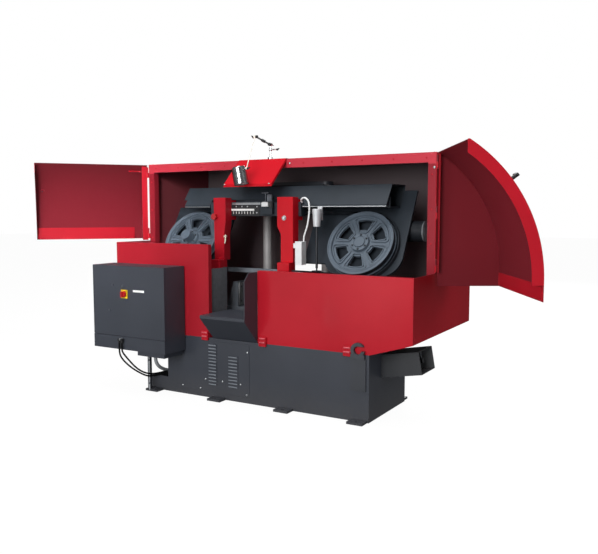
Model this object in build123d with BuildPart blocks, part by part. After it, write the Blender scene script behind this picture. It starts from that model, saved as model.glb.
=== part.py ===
"""Double column band saw with a hinged two-hood enclosure.

Millimetres, +Z up. The front, where cut pieces come out, is -Y, and the drive side is +X.
The origin is on the floor at the centre of the outer anchor pattern.
"""
import math
import os

from build123d import *

os.makedirs("parts", exist_ok=True)

# Datum of the dimensions below, as seen from the origin; every piece is moved by it when saved
DATUM = (54, 0, 22)
FLOOR = -DATUM[2]

# Enclosure planes
LEFT_X, RIGHT_X = -1467, 1309
FRONT_Y, UPPER_Y, REAR_Y = -350, 83, 980
ROOF_Z = 1942
END_LOW_Z = 578
LEFT_TOP_Z, RIGHT_TOP_Z = 1242, 1050
SHEET = 4
FLANGE = 40
WINDOW_LEFT, WINDOW_RIGHT = -455, 22

# Base weldment
BASE_LEFT, BASE_RIGHT = -900, 980
BASE_REAR = 350
BASE_TOP = 478
BASE_WALL = 10
PEDESTAL_LEFT, PEDESTAL_RIGHT, PEDESTAL_REAR = -720, 330, 800
FOOT_X = (-1014, -355, 281, 906)
FOOT_WIDTH, FOOT_THICK, FOOT_REACH = 126, 18, 90
FOOT_OVERLAP = 60
ANCHOR_HOLE = 26
ANCHOR_INSET = 40
TRAY_LEFT, TRAY_TOP = -1085, 100
STRUT_X, STRUT_Y, STRUT_SIZE = -1047, -416, 25
ACCESS_X, ACCESS_Z = (-740, -90), (60, 385)

# Table height and cut
TABLE_Z = 690
GAP_FRONT, GAP_REAR = -125, 45

# Band wheels, leaning back by WHEEL_TILT
DRIVE_X, IDLER_X = 710, -960
WHEEL_Y, WHEEL_Z = 70, 1260
WHEEL_TILT = 30
WHEEL_R = 275
RIM_WIDTH, RIM_INNER, RIM_FLANGE = 50, 243, 6
HUB_R, HUB_HALF = 72, 30
WEB_HALF = 7
SPOKES, SPOKE_WIDTH = 6, 40
WINDOW_IN, WINDOW_OUT = 98, 226
WINDOW_ROUND, WINDOW_RIM, WINDOW_RAISE = 18, 9, 9
SHAFT_R, AXLE_R = 30, 25

# Clearances: turning fit on a pin, running gap beside a slide
FIT, RUN_GAP = 0.05, 0.4

# Band blade
BAND_WIDTH, BAND_THICK, BAND_GAP = 41, 1.3, 0.4
STRAIGHT_LEFT, STRAIGHT_RIGHT = -662, 172
TWIST_STEPS = 4
TOOTH_PITCH, TOOTH_DEPTH = 14, 6

# Columns and carriage
COLUMN_X = (-528, 95)
COLUMN_Y, COLUMN_R, COLUMN_TOP = 650, 40, 1745
TIE_THICK = 30
LIFT_X, LIFT_ROD_R = 250, 22
CARRIAGE_LOW, CARRIAGE_HIGH = 1470, 1740
SLEEVE_R, BUSH_R, BUSH_LENGTH = 70, 50, 60

# Saw frame
BEAM_LEFT, BEAM_RIGHT = -1040, 935
BEAM_FRONT, BEAM_BACK, BEAM_LOW, BEAM_HIGH = 70, 420, 1540, 1720
BEAM_NOSE_Z, BEAM_CREST_Y = 1610, 150
BEAM_WALL = 10
RAIL_LEFT, RAIL_RIGHT = -720, 190
RAIL_FRONT, RAIL_BACK, RAIL_LOW, RAIL_HIGH = 40, 112, 1470, 1588
PLATE_NEAR, PLATE_FAR = -70, -90

# Guide arms
ARM_FRONT, ARM_BACK = -50, 36
ARM_TOP, ARM_FOOT = 1626, 1100
LEFT_ARM, RIGHT_ARM = (-623, -498), (18, 166)
LEFT_FOOT, RIGHT_FOOT = (-614, -515), (52, 166)

# Hood doors: one arc section, hinged on a vertical pin at each end of the enclosure
HOOD_R, HOOD_DEPTH_C, HOOD_Z_C = 1010, -539, 1088
HOOD_TOP = 1938
HOOD_SHEET = 3
HINGE_OUT, HINGE_Y = 8, 75
KNUCKLE_R, PIN_R, LEAF = 7, 4, 45
LEFT_HOOD_WIDTH, RIGHT_HOOD_WIDTH = 985, 956
LEFT_HOOD_OPEN, RIGHT_HOOD_OPEN = 130, 120
LEFT_HOOD_LOW, RIGHT_HOOD_LOW = 1246, 960
HOOD_END_FLANGE = 75
LATCH_Z, LATCH_SPINDLE = 1697, 5

# Electric cabinet
CAB_LEFT, CAB_RIGHT, CAB_FRONT = -1490, -700, -616
CAB_LOW, CAB_HIGH, CAB_STRIP = 355, 1060, 466
DUCT_LOW = 318
DOOR_THICK = 18
SWITCH_X, SWITCH_Z = -1128, 826

# Chip chute and auger, rising outwards
CHUTE_TILT, CHUTE_Y, CHUTE_Z = 10, 10, 357
CHUTE_WIDTH, CHUTE_HEIGHT, CHUTE_WALL, CHUTE_LENGTH = 280, 170, 5, 310
CHUTE_MOUTH = 161
AUGER_R, AUGER_PITCH, AUGER_SHAFT_R = 72, 120, 18

# Cables
CABLE_D, CONDUIT_D = 14, 30
HOSE_D = 14


def save(builder, name):
    """Move a finished piece from the datum to the origin, label it and write it."""
    piece = builder.part.moved(Location(DATUM))
    piece.label = name
    export_step(piece, f"parts/{name}.step")


def block(x, y, z, mode=Mode.ADD):
    """Box between two corners, each axis given as a (low, high) pair."""
    with Locations(((x[0] + x[1]) / 2, (y[0] + y[1]) / 2, (z[0] + z[1]) / 2)):
        Box(x[1] - x[0], y[1] - y[0], z[1] - z[0], mode=mode)


def rod(start, end, radius, mode=Mode.ADD):
    """Round bar from one point to another."""
    line = Vector(end) - Vector(start)
    with BuildSketch(Plane(origin=start, z_dir=line)) as disc:
        Circle(radius)
    extrude(disc.sketch, amount=line.length, mode=mode)


def outline(points):
    """Filled polygon in the current sketch."""
    Polygon(*points, align=None)


def side_profile(x):
    """Plane across the machine at x: sketch x is machine Y, sketch y is machine Z."""
    return Plane(origin=(x, 0, 0), x_dir=(0, 1, 0), z_dir=(1, 0, 0))


def front_profile(y):
    """Plane along the machine at y: sketch x is machine X, sketch y is machine Z."""
    return Plane(origin=(0, y, 0), x_dir=(1, 0, 0), z_dir=(0, -1, 0))


# Base weldment: box base, rear pedestal, cable tray, foot plates and cabinet strut
with BuildPart() as base_frame:
    block((BASE_LEFT, BASE_RIGHT), (FRONT_Y, BASE_REAR), (FLOOR, BASE_TOP))
    block((PEDESTAL_LEFT, PEDESTAL_RIGHT), (BASE_REAR, PEDESTAL_REAR), (FLOOR, BASE_TOP))
    inner_z = (FLOOR + BASE_WALL, BASE_TOP - BASE_WALL)
    block((BASE_LEFT + BASE_WALL, BASE_RIGHT - BASE_WALL),
          (FRONT_Y + BASE_WALL, BASE_REAR - BASE_WALL), inner_z, mode=Mode.SUBTRACT)
    block((PEDESTAL_LEFT + BASE_WALL, PEDESTAL_RIGHT - BASE_WALL),
          (BASE_REAR, PEDESTAL_REAR - BASE_WALL), inner_z, mode=Mode.SUBTRACT)
    # access opening behind the louvres, chip well in the top, chute mouth in the right end
    block(ACCESS_X, (FRONT_Y - 1, FRONT_Y + BASE_WALL + 1), ACCESS_Z, mode=Mode.SUBTRACT)
    block((WINDOW_LEFT, WINDOW_RIGHT), (GAP_FRONT, GAP_REAR),
          (BASE_TOP - BASE_WALL - 1, BASE_TOP + 1), mode=Mode.SUBTRACT)
    block((BASE_RIGHT - BASE_WALL - 1, BASE_RIGHT + 1),
          (CHUTE_Y - CHUTE_WIDTH / 2 + CHUTE_WALL, CHUTE_Y + CHUTE_WIDTH / 2 - CHUTE_WALL),
          (CHUTE_Z - CHUTE_MOUTH / 2, CHUTE_Z + CHUTE_MOUTH / 2), mode=Mode.SUBTRACT)
    # open cable tray at the left end
    block((TRAY_LEFT, BASE_LEFT), (FRONT_Y, BASE_REAR), (FLOOR, TRAY_TOP))
    block((TRAY_LEFT + BASE_WALL, BASE_LEFT), (FRONT_Y + BASE_WALL, BASE_REAR - BASE_WALL),
          (FLOOR + BASE_WALL, TRAY_TOP + 1), mode=Mode.SUBTRACT)
    for foot_x in FOOT_X:
        inner_foot = abs(foot_x) < FOOT_X[-1]
        back = PEDESTAL_REAR if inner_foot else BASE_REAR
        for edge, way in ((FRONT_Y, -1), (back, 1)):
            foot_y = sorted((edge - way * FOOT_OVERLAP, edge + way * FOOT_REACH))
            block((foot_x - FOOT_WIDTH / 2, foot_x + FOOT_WIDTH / 2), foot_y, (FLOOR, FLOOR + FOOT_THICK))
            with Locations((foot_x, edge + way * (FOOT_REACH - ANCHOR_INSET), FLOOR + FOOT_THICK)):
                Hole(ANCHOR_HOLE / 2, depth=FOOT_THICK)
    block((STRUT_X - STRUT_SIZE / 2, STRUT_X + STRUT_SIZE / 2),
          (STRUT_Y - STRUT_SIZE / 2, STRUT_Y + STRUT_SIZE / 2), (FLOOR + FOOT_THICK, CAB_LOW))
save(base_frame, "base_frame")

# Louvred access panel on the base front: two columns of pressed hoods over slots
LOUVRE_SHEET, LOUVRE_STEP, LOUVRE_REACH = 3, 27, 8
LOUVRE_COLUMNS = ((-461, 84, 13, 424), (-261, 94, 10, 345))
PANEL_X, PANEL_Z, PANEL_ROUND = (-770, -60), (30, 450), 12
with BuildPart() as louvre_panel:
    block(PANEL_X, (FRONT_Y - LOUVRE_SHEET, FRONT_Y), PANEL_Z)
    fillet(louvre_panel.edges().filter_by(Axis.Y), PANEL_ROUND)
    for louvre_x, louvre_width, count, top_z in LOUVRE_COLUMNS:
        slots = [top_z - LOUVRE_STEP * i for i in range(count)]
        for z in slots:
            block((louvre_x, louvre_x + louvre_width), (FRONT_Y - LOUVRE_SHEET - 1, FRONT_Y + 1),
                  (z - 9, z), mode=Mode.SUBTRACT)
        with BuildSketch(side_profile(louvre_x)):
            for z in slots:
                outline(((FRONT_Y - LOUVRE_SHEET, z + 8), (FRONT_Y - LOUVRE_SHEET - LOUVRE_REACH, z - 7),
                         (FRONT_Y - LOUVRE_SHEET - LOUVRE_REACH + 2, z - 8), (FRONT_Y - LOUVRE_SHEET + 1, z)))
        extrude(amount=louvre_width)
save(louvre_panel, "louvre_panel")

# Lifting hooks near the corners: a C-shaped claw on a doubler plate
HOOK_R, HOOK_EYE, HOOK_THICK, DOUBLER_THICK = 55, 30, 26, 12
HOOKS = (((897, FRONT_Y, 510), (0, -1, 0), 1), ((897, BASE_REAR, 405), (0, 1, 0), -1),
         ((-817, BASE_REAR, 405), (0, 1, 0), 1), ((BASE_LEFT, 150, 405), (-1, 0, 0), 1))
with BuildPart() as lifting_hooks:
    for spot, outward, mouth in HOOKS:
        claw = Plane(origin=spot, x_dir=Vector(0, 0, 1).cross(Vector(outward)), z_dir=outward)
        with BuildSketch(claw):
            Circle(HOOK_R)
            with Locations((0, -48)):
                Rectangle(2 * HOOK_R, 34)
            Circle(HOOK_EYE, mode=Mode.SUBTRACT)
            with Locations((mouth * HOOK_R / 2, 12)):
                Rectangle(HOOK_R + 2, 36, mode=Mode.SUBTRACT)
        extrude(amount=HOOK_THICK)
        with BuildSketch(claw):
            with Locations((0, -180)):
                Rectangle(122, 240)
        extrude(amount=DOUBLER_THICK)
save(lifting_hooks, "lifting_hooks")

# Lower front panels: folded sheets with a top flange and bolted lugs on the base edge
LUG_WIDTH, LUG_LOW, LUG_HIGH, LUG_THICK = 54, 456, 500, 12


def front_panel(inner_x, outer_x, base_x, top_z, lug_xs):
    """Sheet from the window edge to the end of the enclosure, its foot rising past the base."""
    way = math.copysign(1, outer_x - inner_x)
    with BuildPart() as panel:
        with BuildSketch(front_profile(FRONT_Y + SHEET)):
            outline(((inner_x, BASE_TOP), (base_x, BASE_TOP), (outer_x, END_LOW_Z),
                     (outer_x, top_z), (inner_x, top_z)))
        extrude(amount=SHEET)
        span = sorted((inner_x, outer_x - way * SHEET))
        block(span, (FRONT_Y + SHEET, FRONT_Y + FLANGE), (top_z - SHEET, top_z))
        block(sorted((inner_x, inner_x + way * SHEET)), (FRONT_Y + SHEET, FRONT_Y + FLANGE), (BASE_TOP, top_z))
        for lug_x in lug_xs:
            block((lug_x - LUG_WIDTH / 2, lug_x + LUG_WIDTH / 2), (FRONT_Y - LUG_THICK, FRONT_Y),
                  (LUG_LOW, LUG_HIGH))
        corners = panel.edges().filter_by(Axis.Y).group_by(Axis.Z)[0]
        fillet(corners, 14)
    return panel


front_panel_left = front_panel(WINDOW_LEFT, LEFT_X, BASE_LEFT, LEFT_TOP_Z, (-499,))
save(front_panel_left, "front_panel_left")
front_panel_right = front_panel(WINDOW_RIGHT, RIGHT_X, BASE_RIGHT, RIGHT_TOP_Z, (62, 806))
save(front_panel_right, "front_panel_right")


def end_panel(x, step_z):
    """End sheet with the step where a hood closes over the lower front."""
    with BuildPart() as panel:
        with BuildSketch(side_profile(x)):
            outline(((FRONT_Y + SHEET, END_LOW_Z), (REAR_Y - SHEET, END_LOW_Z), (REAR_Y - SHEET, ROOF_Z - SHEET),
                     (UPPER_Y, ROOF_Z - SHEET), (UPPER_Y, step_z), (FRONT_Y + SHEET, step_z)))
        extrude(amount=SHEET)
    return panel


end_panel_left = end_panel(LEFT_X, LEFT_TOP_Z)
save(end_panel_left, "end_panel_left")
end_panel_right = end_panel(RIGHT_X - SHEET, RIGHT_TOP_Z)
save(end_panel_right, "end_panel_right")

# Drain pan: sloping ends and a flat rear floor round the pedestal
with BuildPart() as drain_pan:
    with BuildSketch(front_profile(REAR_Y - SHEET)):
        left, right = LEFT_X + SHEET, RIGHT_X - SHEET
        rise_left = (END_LOW_Z - BASE_TOP) / (BASE_LEFT - LEFT_X)
        rise_right = (END_LOW_Z - BASE_TOP) / (RIGHT_X - BASE_RIGHT)
        left_z = BASE_TOP + rise_left * (BASE_LEFT - left)
        right_z = BASE_TOP + rise_right * (right - BASE_RIGHT)
        outline(((left, left_z), (BASE_LEFT, BASE_TOP), (BASE_RIGHT, BASE_TOP), (right, right_z),
                 (right, right_z + SHEET), (BASE_RIGHT, BASE_TOP + SHEET), (BASE_LEFT, BASE_TOP + SHEET),
                 (left, left_z + SHEET)))
    extrude(amount=REAR_Y - FRONT_Y - 2 * SHEET)
    block((BASE_LEFT, BASE_RIGHT), (FRONT_Y, BASE_REAR), (BASE_TOP - 1, BASE_TOP + SHEET + 1), mode=Mode.SUBTRACT)
    block((PEDESTAL_LEFT, PEDESTAL_RIGHT), (BASE_REAR - 1, PEDESTAL_REAR),
          (BASE_TOP - 1, BASE_TOP + SHEET + 1), mode=Mode.SUBTRACT)
save(drain_pan, "drain_pan")

with BuildPart() as roof_panel:
    block((LEFT_X, RIGHT_X), (UPPER_Y, REAR_Y), (ROOF_Z - SHEET, ROOF_Z))
save(roof_panel, "roof_panel")

# Rear sheet with the infeed opening
with BuildPart() as rear_panel:
    with BuildSketch(front_profile(REAR_Y)):
        outline(((BASE_LEFT, BASE_TOP), (BASE_RIGHT, BASE_TOP), (RIGHT_X, END_LOW_Z),
                 (RIGHT_X, ROOF_Z - SHEET), (LEFT_X, ROOF_Z - SHEET), (LEFT_X, END_LOW_Z)))
        with Locations(((WINDOW_LEFT + WINDOW_RIGHT) / 2, TABLE_Z + 190)):
            RectangleRounded(WINDOW_RIGHT - WINDOW_LEFT, 420, 20, mode=Mode.SUBTRACT)
    extrude(amount=SHEET)
save(rear_panel, "rear_panel")

# Door frame: folded posts and top rail, open at the back
POST_LEFT_IN, POST_RIGHT_IN = -1404, 1244
FRAME_DEPTH, RAIL_BOTTOM, POST_BOTTOM = 60, 1868, 640
with BuildPart() as door_frame:
    frame_top = ROOF_Z - SHEET
    with BuildSketch(front_profile(UPPER_Y + FRAME_DEPTH)):
        outline(((LEFT_X + SHEET, POST_BOTTOM), (POST_LEFT_IN, POST_BOTTOM), (POST_LEFT_IN, RAIL_BOTTOM),
                 (POST_RIGHT_IN, RAIL_BOTTOM), (POST_RIGHT_IN, POST_BOTTOM), (RIGHT_X - SHEET, POST_BOTTOM),
                 (RIGHT_X - SHEET, frame_top), (LEFT_X + SHEET, frame_top)))
    extrude(amount=FRAME_DEPTH)
    with BuildSketch(front_profile(UPPER_Y + FRAME_DEPTH)):
        low, wall = POST_BOTTOM + SHEET, SHEET
        outline(((LEFT_X + 2 * wall, low), (POST_LEFT_IN - wall, low), (POST_LEFT_IN - wall, RAIL_BOTTOM + wall),
                 (POST_RIGHT_IN + wall, RAIL_BOTTOM + wall), (POST_RIGHT_IN + wall, low),
                 (RIGHT_X - 2 * wall, low), (RIGHT_X - 2 * wall, frame_top - wall),
                 (LEFT_X + 2 * wall, frame_top - wall)))
    extrude(amount=FRAME_DEPTH - SHEET, mode=Mode.SUBTRACT)
save(door_frame, "door_frame")

# Centre hood: tilted splash plate hung from the roof edge, with side cheeks
CENTRE_LEFT, CENTRE_RIGHT = -440, 28
CENTRE_LOW_Y, CENTRE_LOW_Z = -151, 1732
CENTRE_SHEET, CENTRE_LAP, CENTRE_CHEEK = 3, 45, 22
with BuildPart() as centre_hood:
    with BuildSketch(side_profile(CENTRE_LEFT)):
        with BuildLine():
            Polyline((UPPER_Y + CENTRE_LAP, ROOF_Z + CENTRE_SHEET / 2), (UPPER_Y - 6, ROOF_Z + CENTRE_SHEET / 2),
                     (CENTRE_LOW_Y, CENTRE_LOW_Z), (CENTRE_LOW_Y, CENTRE_LOW_Z - CENTRE_CHEEK))
        trace(line_width=CENTRE_SHEET)
    extrude(amount=CENTRE_RIGHT - CENTRE_LEFT)
    cheek = ((UPPER_Y - 8, ROOF_Z - 1), (CENTRE_LOW_Y, CENTRE_LOW_Z), (CENTRE_LOW_Y, CENTRE_LOW_Z - CENTRE_CHEEK),
             (UPPER_Y - 8, ROOF_Z - 1 - CENTRE_CHEEK))
    for x in (CENTRE_LEFT, CENTRE_RIGHT - CENTRE_SHEET):
        with BuildSketch(side_profile(x)):
            outline(cheek)
        extrude(amount=CENTRE_SHEET)
save(centre_hood, "centre_hood")

# Guide columns with foot flanges, and the tie across their tops
with BuildPart() as guide_columns:
    for column_x in COLUMN_X:
        with Locations((column_x, COLUMN_Y, BASE_TOP)):
            Cylinder(COLUMN_R, COLUMN_TOP - BASE_TOP, align=(Align.CENTER, Align.CENTER, Align.MIN))
            Cylinder(75, 28, align=(Align.CENTER, Align.CENTER, Align.MIN))
save(guide_columns, "guide_columns")

with BuildPart() as column_tie:
    with BuildSketch(Plane.XY.offset(COLUMN_TOP)):
        with Locations(((COLUMN_X[0] + COLUMN_X[1]) / 2, COLUMN_Y)):
            SlotCenterToCenter(COLUMN_X[1] - COLUMN_X[0], 130)
    extrude(amount=TIE_THICK)
save(column_tie, "column_tie")

# Vise: cast bed with a key slot, fixed jaw, sliding jaw and its cylinder
BED_LEFT, BED_RIGHT, BED_REAR = -620, 130, 560
BED_SKIN = 45
SLOT_Y, SLOT_HALF = 195, 30
JAW_FRONT, JAW_REAR, JAW_TOP = 62, 330, 905
JAW_LENGTH = 120
VISE_Z, VISE_ROD_R, VISE_BARREL_R = 590, 18, 45
with BuildPart() as vise_bed:
    with BuildSketch(side_profile(BED_LEFT)):
        outline(((GAP_REAR, BASE_TOP), (BED_REAR, BASE_TOP), (BED_REAR, TABLE_Z), (GAP_REAR, TABLE_Z)))
    extrude(amount=BED_RIGHT - BED_LEFT)
    block((BED_LEFT + 25, BED_RIGHT - 25), (GAP_REAR + 25, BED_REAR - 25),
          (BASE_TOP - 1, TABLE_Z - BED_SKIN), mode=Mode.SUBTRACT)
    for rib_x in (-400, -150):
        block((rib_x, rib_x + 20), (GAP_REAR + 25, SLOT_Y - SLOT_HALF - 15), (BASE_TOP, TABLE_Z - BED_SKIN))
        block((rib_x, rib_x + 20), (SLOT_Y + SLOT_HALF + 15, BED_REAR - 25), (BASE_TOP, TABLE_Z - BED_SKIN))
    block((BED_LEFT + 24, WINDOW_RIGHT), (SLOT_Y - SLOT_HALF, SLOT_Y + SLOT_HALF),
          (TABLE_Z - BED_SKIN - 1, TABLE_Z + 1), mode=Mode.SUBTRACT)
    rod((BED_LEFT - 1, SLOT_Y, VISE_Z), (BED_LEFT + 26, SLOT_Y, VISE_Z), VISE_ROD_R + 4, mode=Mode.SUBTRACT)
save(vise_bed, "vise_bed")

with BuildPart() as fixed_jaw:
    with BuildSketch(front_profile(JAW_REAR)):
        outline(((WINDOW_RIGHT, TABLE_Z), (BED_RIGHT, TABLE_Z), (WINDOW_RIGHT + 45, JAW_TOP),
                 (WINDOW_RIGHT, JAW_TOP)))
    extrude(amount=JAW_REAR - JAW_FRONT)
    chamfer(fixed_jaw.edges().group_by(Axis.Z)[-1].filter_by(Axis.Y), 6)
save(fixed_jaw, "fixed_jaw")

JAW_GAP = 0.4
with BuildPart() as movable_jaw:
    jaw_x = (WINDOW_LEFT - JAW_LENGTH, WINDOW_LEFT)
    with BuildSketch(front_profile(JAW_REAR)):
        outline(((jaw_x[0], TABLE_Z + JAW_GAP), (jaw_x[1], TABLE_Z + JAW_GAP), (jaw_x[1], JAW_TOP),
                 (jaw_x[1] - 45, JAW_TOP)))
    extrude(amount=JAW_REAR - JAW_FRONT)
    block((jaw_x[0] + 15, jaw_x[1] - 15), (SLOT_Y - SLOT_HALF + 0.6, SLOT_Y + SLOT_HALF - 0.6),
          (VISE_Z - 25, TABLE_Z + JAW_GAP))
    rod((-1150, SLOT_Y, VISE_Z), (jaw_x[0] + 20, SLOT_Y, VISE_Z), VISE_ROD_R)
save(movable_jaw, "movable_jaw")

with BuildPart() as vise_cylinder:
    rod((-1190, SLOT_Y, VISE_Z), (BED_LEFT, SLOT_Y, VISE_Z), VISE_BARREL_R)
    rod((BED_LEFT - 16, SLOT_Y, VISE_Z), (BED_LEFT, SLOT_Y, VISE_Z), VISE_BARREL_R + 18)
    rod((-1170, SLOT_Y, VISE_Z), (BED_LEFT - 40, SLOT_Y, VISE_Z), VISE_BARREL_R - 10, mode=Mode.SUBTRACT)
    rod((BED_LEFT - 50, SLOT_Y, VISE_Z), (BED_LEFT + 1, SLOT_Y, VISE_Z), VISE_ROD_R + FIT, mode=Mode.SUBTRACT)
save(vise_cylinder, "vise_cylinder")

# Outfeed table: flat top, sloping apron down to the base edge and a cheek plate on the right
TABLE_LEFT, TABLE_LIP = -408, -530
TABLE_SHEET, CHEEK_TOP = 6, 1040
with BuildPart() as outfeed_table:
    with BuildSketch(side_profile(TABLE_LEFT)):
        with BuildLine():
            Polyline((GAP_FRONT, TABLE_Z - TABLE_SHEET / 2), (TABLE_LIP, TABLE_Z - TABLE_SHEET / 2),
                     (TABLE_LIP, TABLE_Z - 22), (FRONT_Y - 5, BASE_TOP + 8), (FRONT_Y + 60, BASE_TOP + 3))
        trace(line_width=TABLE_SHEET)
    extrude(amount=WINDOW_RIGHT - TABLE_LEFT)
    for leg_x in (TABLE_LEFT, WINDOW_RIGHT - 40):
        block((leg_x, leg_x + 40), (GAP_FRONT - 40, GAP_FRONT), (BASE_TOP, TABLE_Z - TABLE_SHEET))
    with BuildSketch(side_profile(WINDOW_RIGHT - TABLE_SHEET)):
        outline(((FRONT_Y - 4, BASE_TOP + 8), (TABLE_LIP, TABLE_Z - 22), (TABLE_LIP, CHEEK_TOP - 60),
                 (TABLE_LIP + 60, CHEEK_TOP), (FRONT_Y - 4, CHEEK_TOP)))
    extrude(amount=TABLE_SHEET)
save(outfeed_table, "outfeed_table")

# Chip chute: square trough rising out of the right end, with the auger in it
chute_way = Vector(math.cos(math.radians(CHUTE_TILT)), 0, math.sin(math.radians(CHUTE_TILT)))
chute_start = Vector(BASE_RIGHT, CHUTE_Y, CHUTE_Z) - chute_way * 40
with BuildPart() as chip_chute:
    with BuildSketch(Plane(origin=chute_start, x_dir=(0, 1, 0), z_dir=chute_way)):
        Rectangle(CHUTE_WIDTH, CHUTE_HEIGHT)
        Rectangle(CHUTE_WIDTH - 2 * CHUTE_WALL, CHUTE_HEIGHT - 2 * CHUTE_WALL, mode=Mode.SUBTRACT)
    extrude(amount=CHUTE_LENGTH + 40)
    block((BASE_RIGHT - 200, BASE_RIGHT), (CHUTE_Y - 200, CHUTE_Y + 200), (CHUTE_Z - 200, CHUTE_Z + 200),
          mode=Mode.SUBTRACT)
save(chip_chute, "chip_chute")

AUGER_TURNS, AUGER_FLIGHT = 3.25, 6
auger_start = Vector(BASE_RIGHT, CHUTE_Y, CHUTE_Z) - chute_way * 130
with BuildPart() as screw:
    Cylinder(AUGER_SHAFT_R, AUGER_PITCH * AUGER_TURNS + 20, align=(Align.CENTER, Align.CENTER, Align.MIN))
    with BuildLine(Plane.XY.offset(10)):
        spiral = Helix(AUGER_PITCH, AUGER_PITCH * AUGER_TURNS, AUGER_SHAFT_R)
    with BuildSketch(Plane(origin=spiral @ 0, x_dir=(1, 0, 0), z_dir=spiral % 0)):
        with Locations(((AUGER_R - AUGER_SHAFT_R) / 2 - 2, 0)):
            Rectangle(AUGER_R - AUGER_SHAFT_R + 4, AUGER_FLIGHT)
    sweep(path=spiral, is_frenet=True)
with BuildPart() as chip_auger:
    with Locations(Plane(origin=auger_start, x_dir=(0, 1, 0), z_dir=chute_way).location):
        add(screw.part)
save(chip_auger, "chip_auger")

# Electric cabinet: open box with a fixed gland strip, a cable duct below and barrel hinges at its left edge
CAB_HINGE_Z, CAB_KNUCKLE, CAB_KNUCKLE_R, CAB_PIN_R = (560, 960), 30, 6, 3
CAB_HINGE_Y = CAB_FRONT + DOOR_THICK + 1


def cabinet_hinge(z):
    """Hinge line points: foot, middle and head of one barrel hinge."""
    return [(CAB_LEFT, CAB_HINGE_Y, z + step) for step in (-CAB_KNUCKLE, 0, CAB_KNUCKLE)]


with BuildPart() as cabinet_body:
    body_front = CAB_FRONT + DOOR_THICK + 2
    block((CAB_LEFT, CAB_RIGHT), (body_front, FRONT_Y - LUG_THICK), (CAB_LOW, CAB_HIGH))
    block((CAB_LEFT + SHEET, CAB_RIGHT - SHEET), (body_front - 1, FRONT_Y - LUG_THICK - SHEET),
          (CAB_LOW + SHEET, CAB_HIGH - SHEET), mode=Mode.SUBTRACT)
    block((CAB_LEFT, CAB_RIGHT), (CAB_FRONT, body_front), (CAB_LOW, CAB_STRIP))
    block((CAB_LEFT + SHEET, CAB_RIGHT - SHEET), (CAB_FRONT + SHEET, body_front + 1),
          (CAB_LOW + SHEET, CAB_STRIP - SHEET), mode=Mode.SUBTRACT)
    block((CAB_LEFT + 40, CAB_RIGHT - 40), (FRONT_Y - LUG_THICK, FRONT_Y), (600, 1000))
    block((-1010, -720), (-600, -370), (DUCT_LOW, CAB_LOW))
    for z in CAB_HINGE_Z:
        foot, middle, head = cabinet_hinge(z)
        rod(middle, Vector(head) + Vector(0, 0, RUN_GAP), CAB_KNUCKLE_R + RUN_GAP, mode=Mode.SUBTRACT)
        rod(foot, middle, CAB_KNUCKLE_R)
        rod(foot, head, CAB_PIN_R)
save(cabinet_body, "cabinet_body")

# Switchgear on its mounting plate: rails with a row of devices on each
GEAR_PLATE_X, GEAR_PLATE_Z, GEAR_PLATE_THICK = (-1430, -760), (500, 1010), 3
GEAR_RAIL_X, GEAR_RAIL_HALF, GEAR_RAIL_DEEP = (-1400, -790), 18, 12
DEVICE_ROWS, DEVICES, DEVICE_START, DEVICE_STEP = ((880, 95), (720, 120), (560, 80)), 6, -1360, 105
DEVICE_WIDTH, DEVICE_DEEP = 78, 70
with BuildPart() as switchgear_plate:
    plate_y = FRONT_Y - LUG_THICK - SHEET
    block(GEAR_PLATE_X, (plate_y - GEAR_PLATE_THICK, plate_y), GEAR_PLATE_Z)
    for row_z, row_high in DEVICE_ROWS:
        block(GEAR_RAIL_X, (plate_y - GEAR_RAIL_DEEP, plate_y - GEAR_PLATE_THICK),
              (row_z - GEAR_RAIL_HALF, row_z + GEAR_RAIL_HALF))
        device_y = plate_y - GEAR_RAIL_DEEP - DEVICE_DEEP / 2
        with Locations(*[(DEVICE_START + DEVICE_STEP * i, device_y, row_z) for i in range(DEVICES)]):
            Box(DEVICE_WIDTH, DEVICE_DEEP, row_high)
save(switchgear_plate, "switchgear_plate")

# Cabinet door: pan with folded edges, hinged on its left edge
with BuildPart() as cabinet_door:
    door_z = (CAB_STRIP + 3, CAB_HIGH)
    block((CAB_LEFT, CAB_RIGHT), (CAB_FRONT, CAB_FRONT + DOOR_THICK), door_z)
    block((CAB_LEFT + 3, CAB_RIGHT - 3), (CAB_FRONT + 3, CAB_FRONT + DOOR_THICK + 1),
          (door_z[0] + 3, door_z[1] - 3), mode=Mode.SUBTRACT)
    fillet(cabinet_door.edges().filter_by(Axis.Z).group_by(Axis.Y)[0], 2)
    rod((SWITCH_X, CAB_FRONT + 40, SWITCH_Z), (SWITCH_X, CAB_FRONT, SWITCH_Z), 30)
    rod((SWITCH_X, CAB_FRONT + 20, SWITCH_Z), (SWITCH_X, CAB_FRONT - 1, SWITCH_Z), 9, mode=Mode.SUBTRACT)
    for z in CAB_HINGE_Z:
        foot, middle, head = cabinet_hinge(z)
        rod(Vector(foot) - Vector(0, 0, RUN_GAP), middle, CAB_KNUCKLE_R + RUN_GAP, mode=Mode.SUBTRACT)
        rod(Vector(middle) + Vector(0, 0, RUN_GAP), head, CAB_KNUCKLE_R)
        rod(foot, Vector(head) + Vector(0, 0, 1), CAB_PIN_R + FIT, mode=Mode.SUBTRACT)
save(cabinet_door, "cabinet_door")

# Main switch knob: round boss with a finger bar on a spindle
with BuildPart() as main_switch_knob:
    rod((SWITCH_X, CAB_FRONT + 18, SWITCH_Z), (SWITCH_X, CAB_FRONT - 6, SWITCH_Z), 8)
    rod((SWITCH_X, CAB_FRONT - 6, SWITCH_Z), (SWITCH_X, CAB_FRONT - 20, SWITCH_Z), 26)
    with BuildSketch(front_profile(CAB_FRONT - 20)):
        with Locations((SWITCH_X, SWITCH_Z)):
            SlotOverall(50, 17, rotation=90)
    extrude(amount=24)
save(main_switch_knob, "main_switch_knob")

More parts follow.
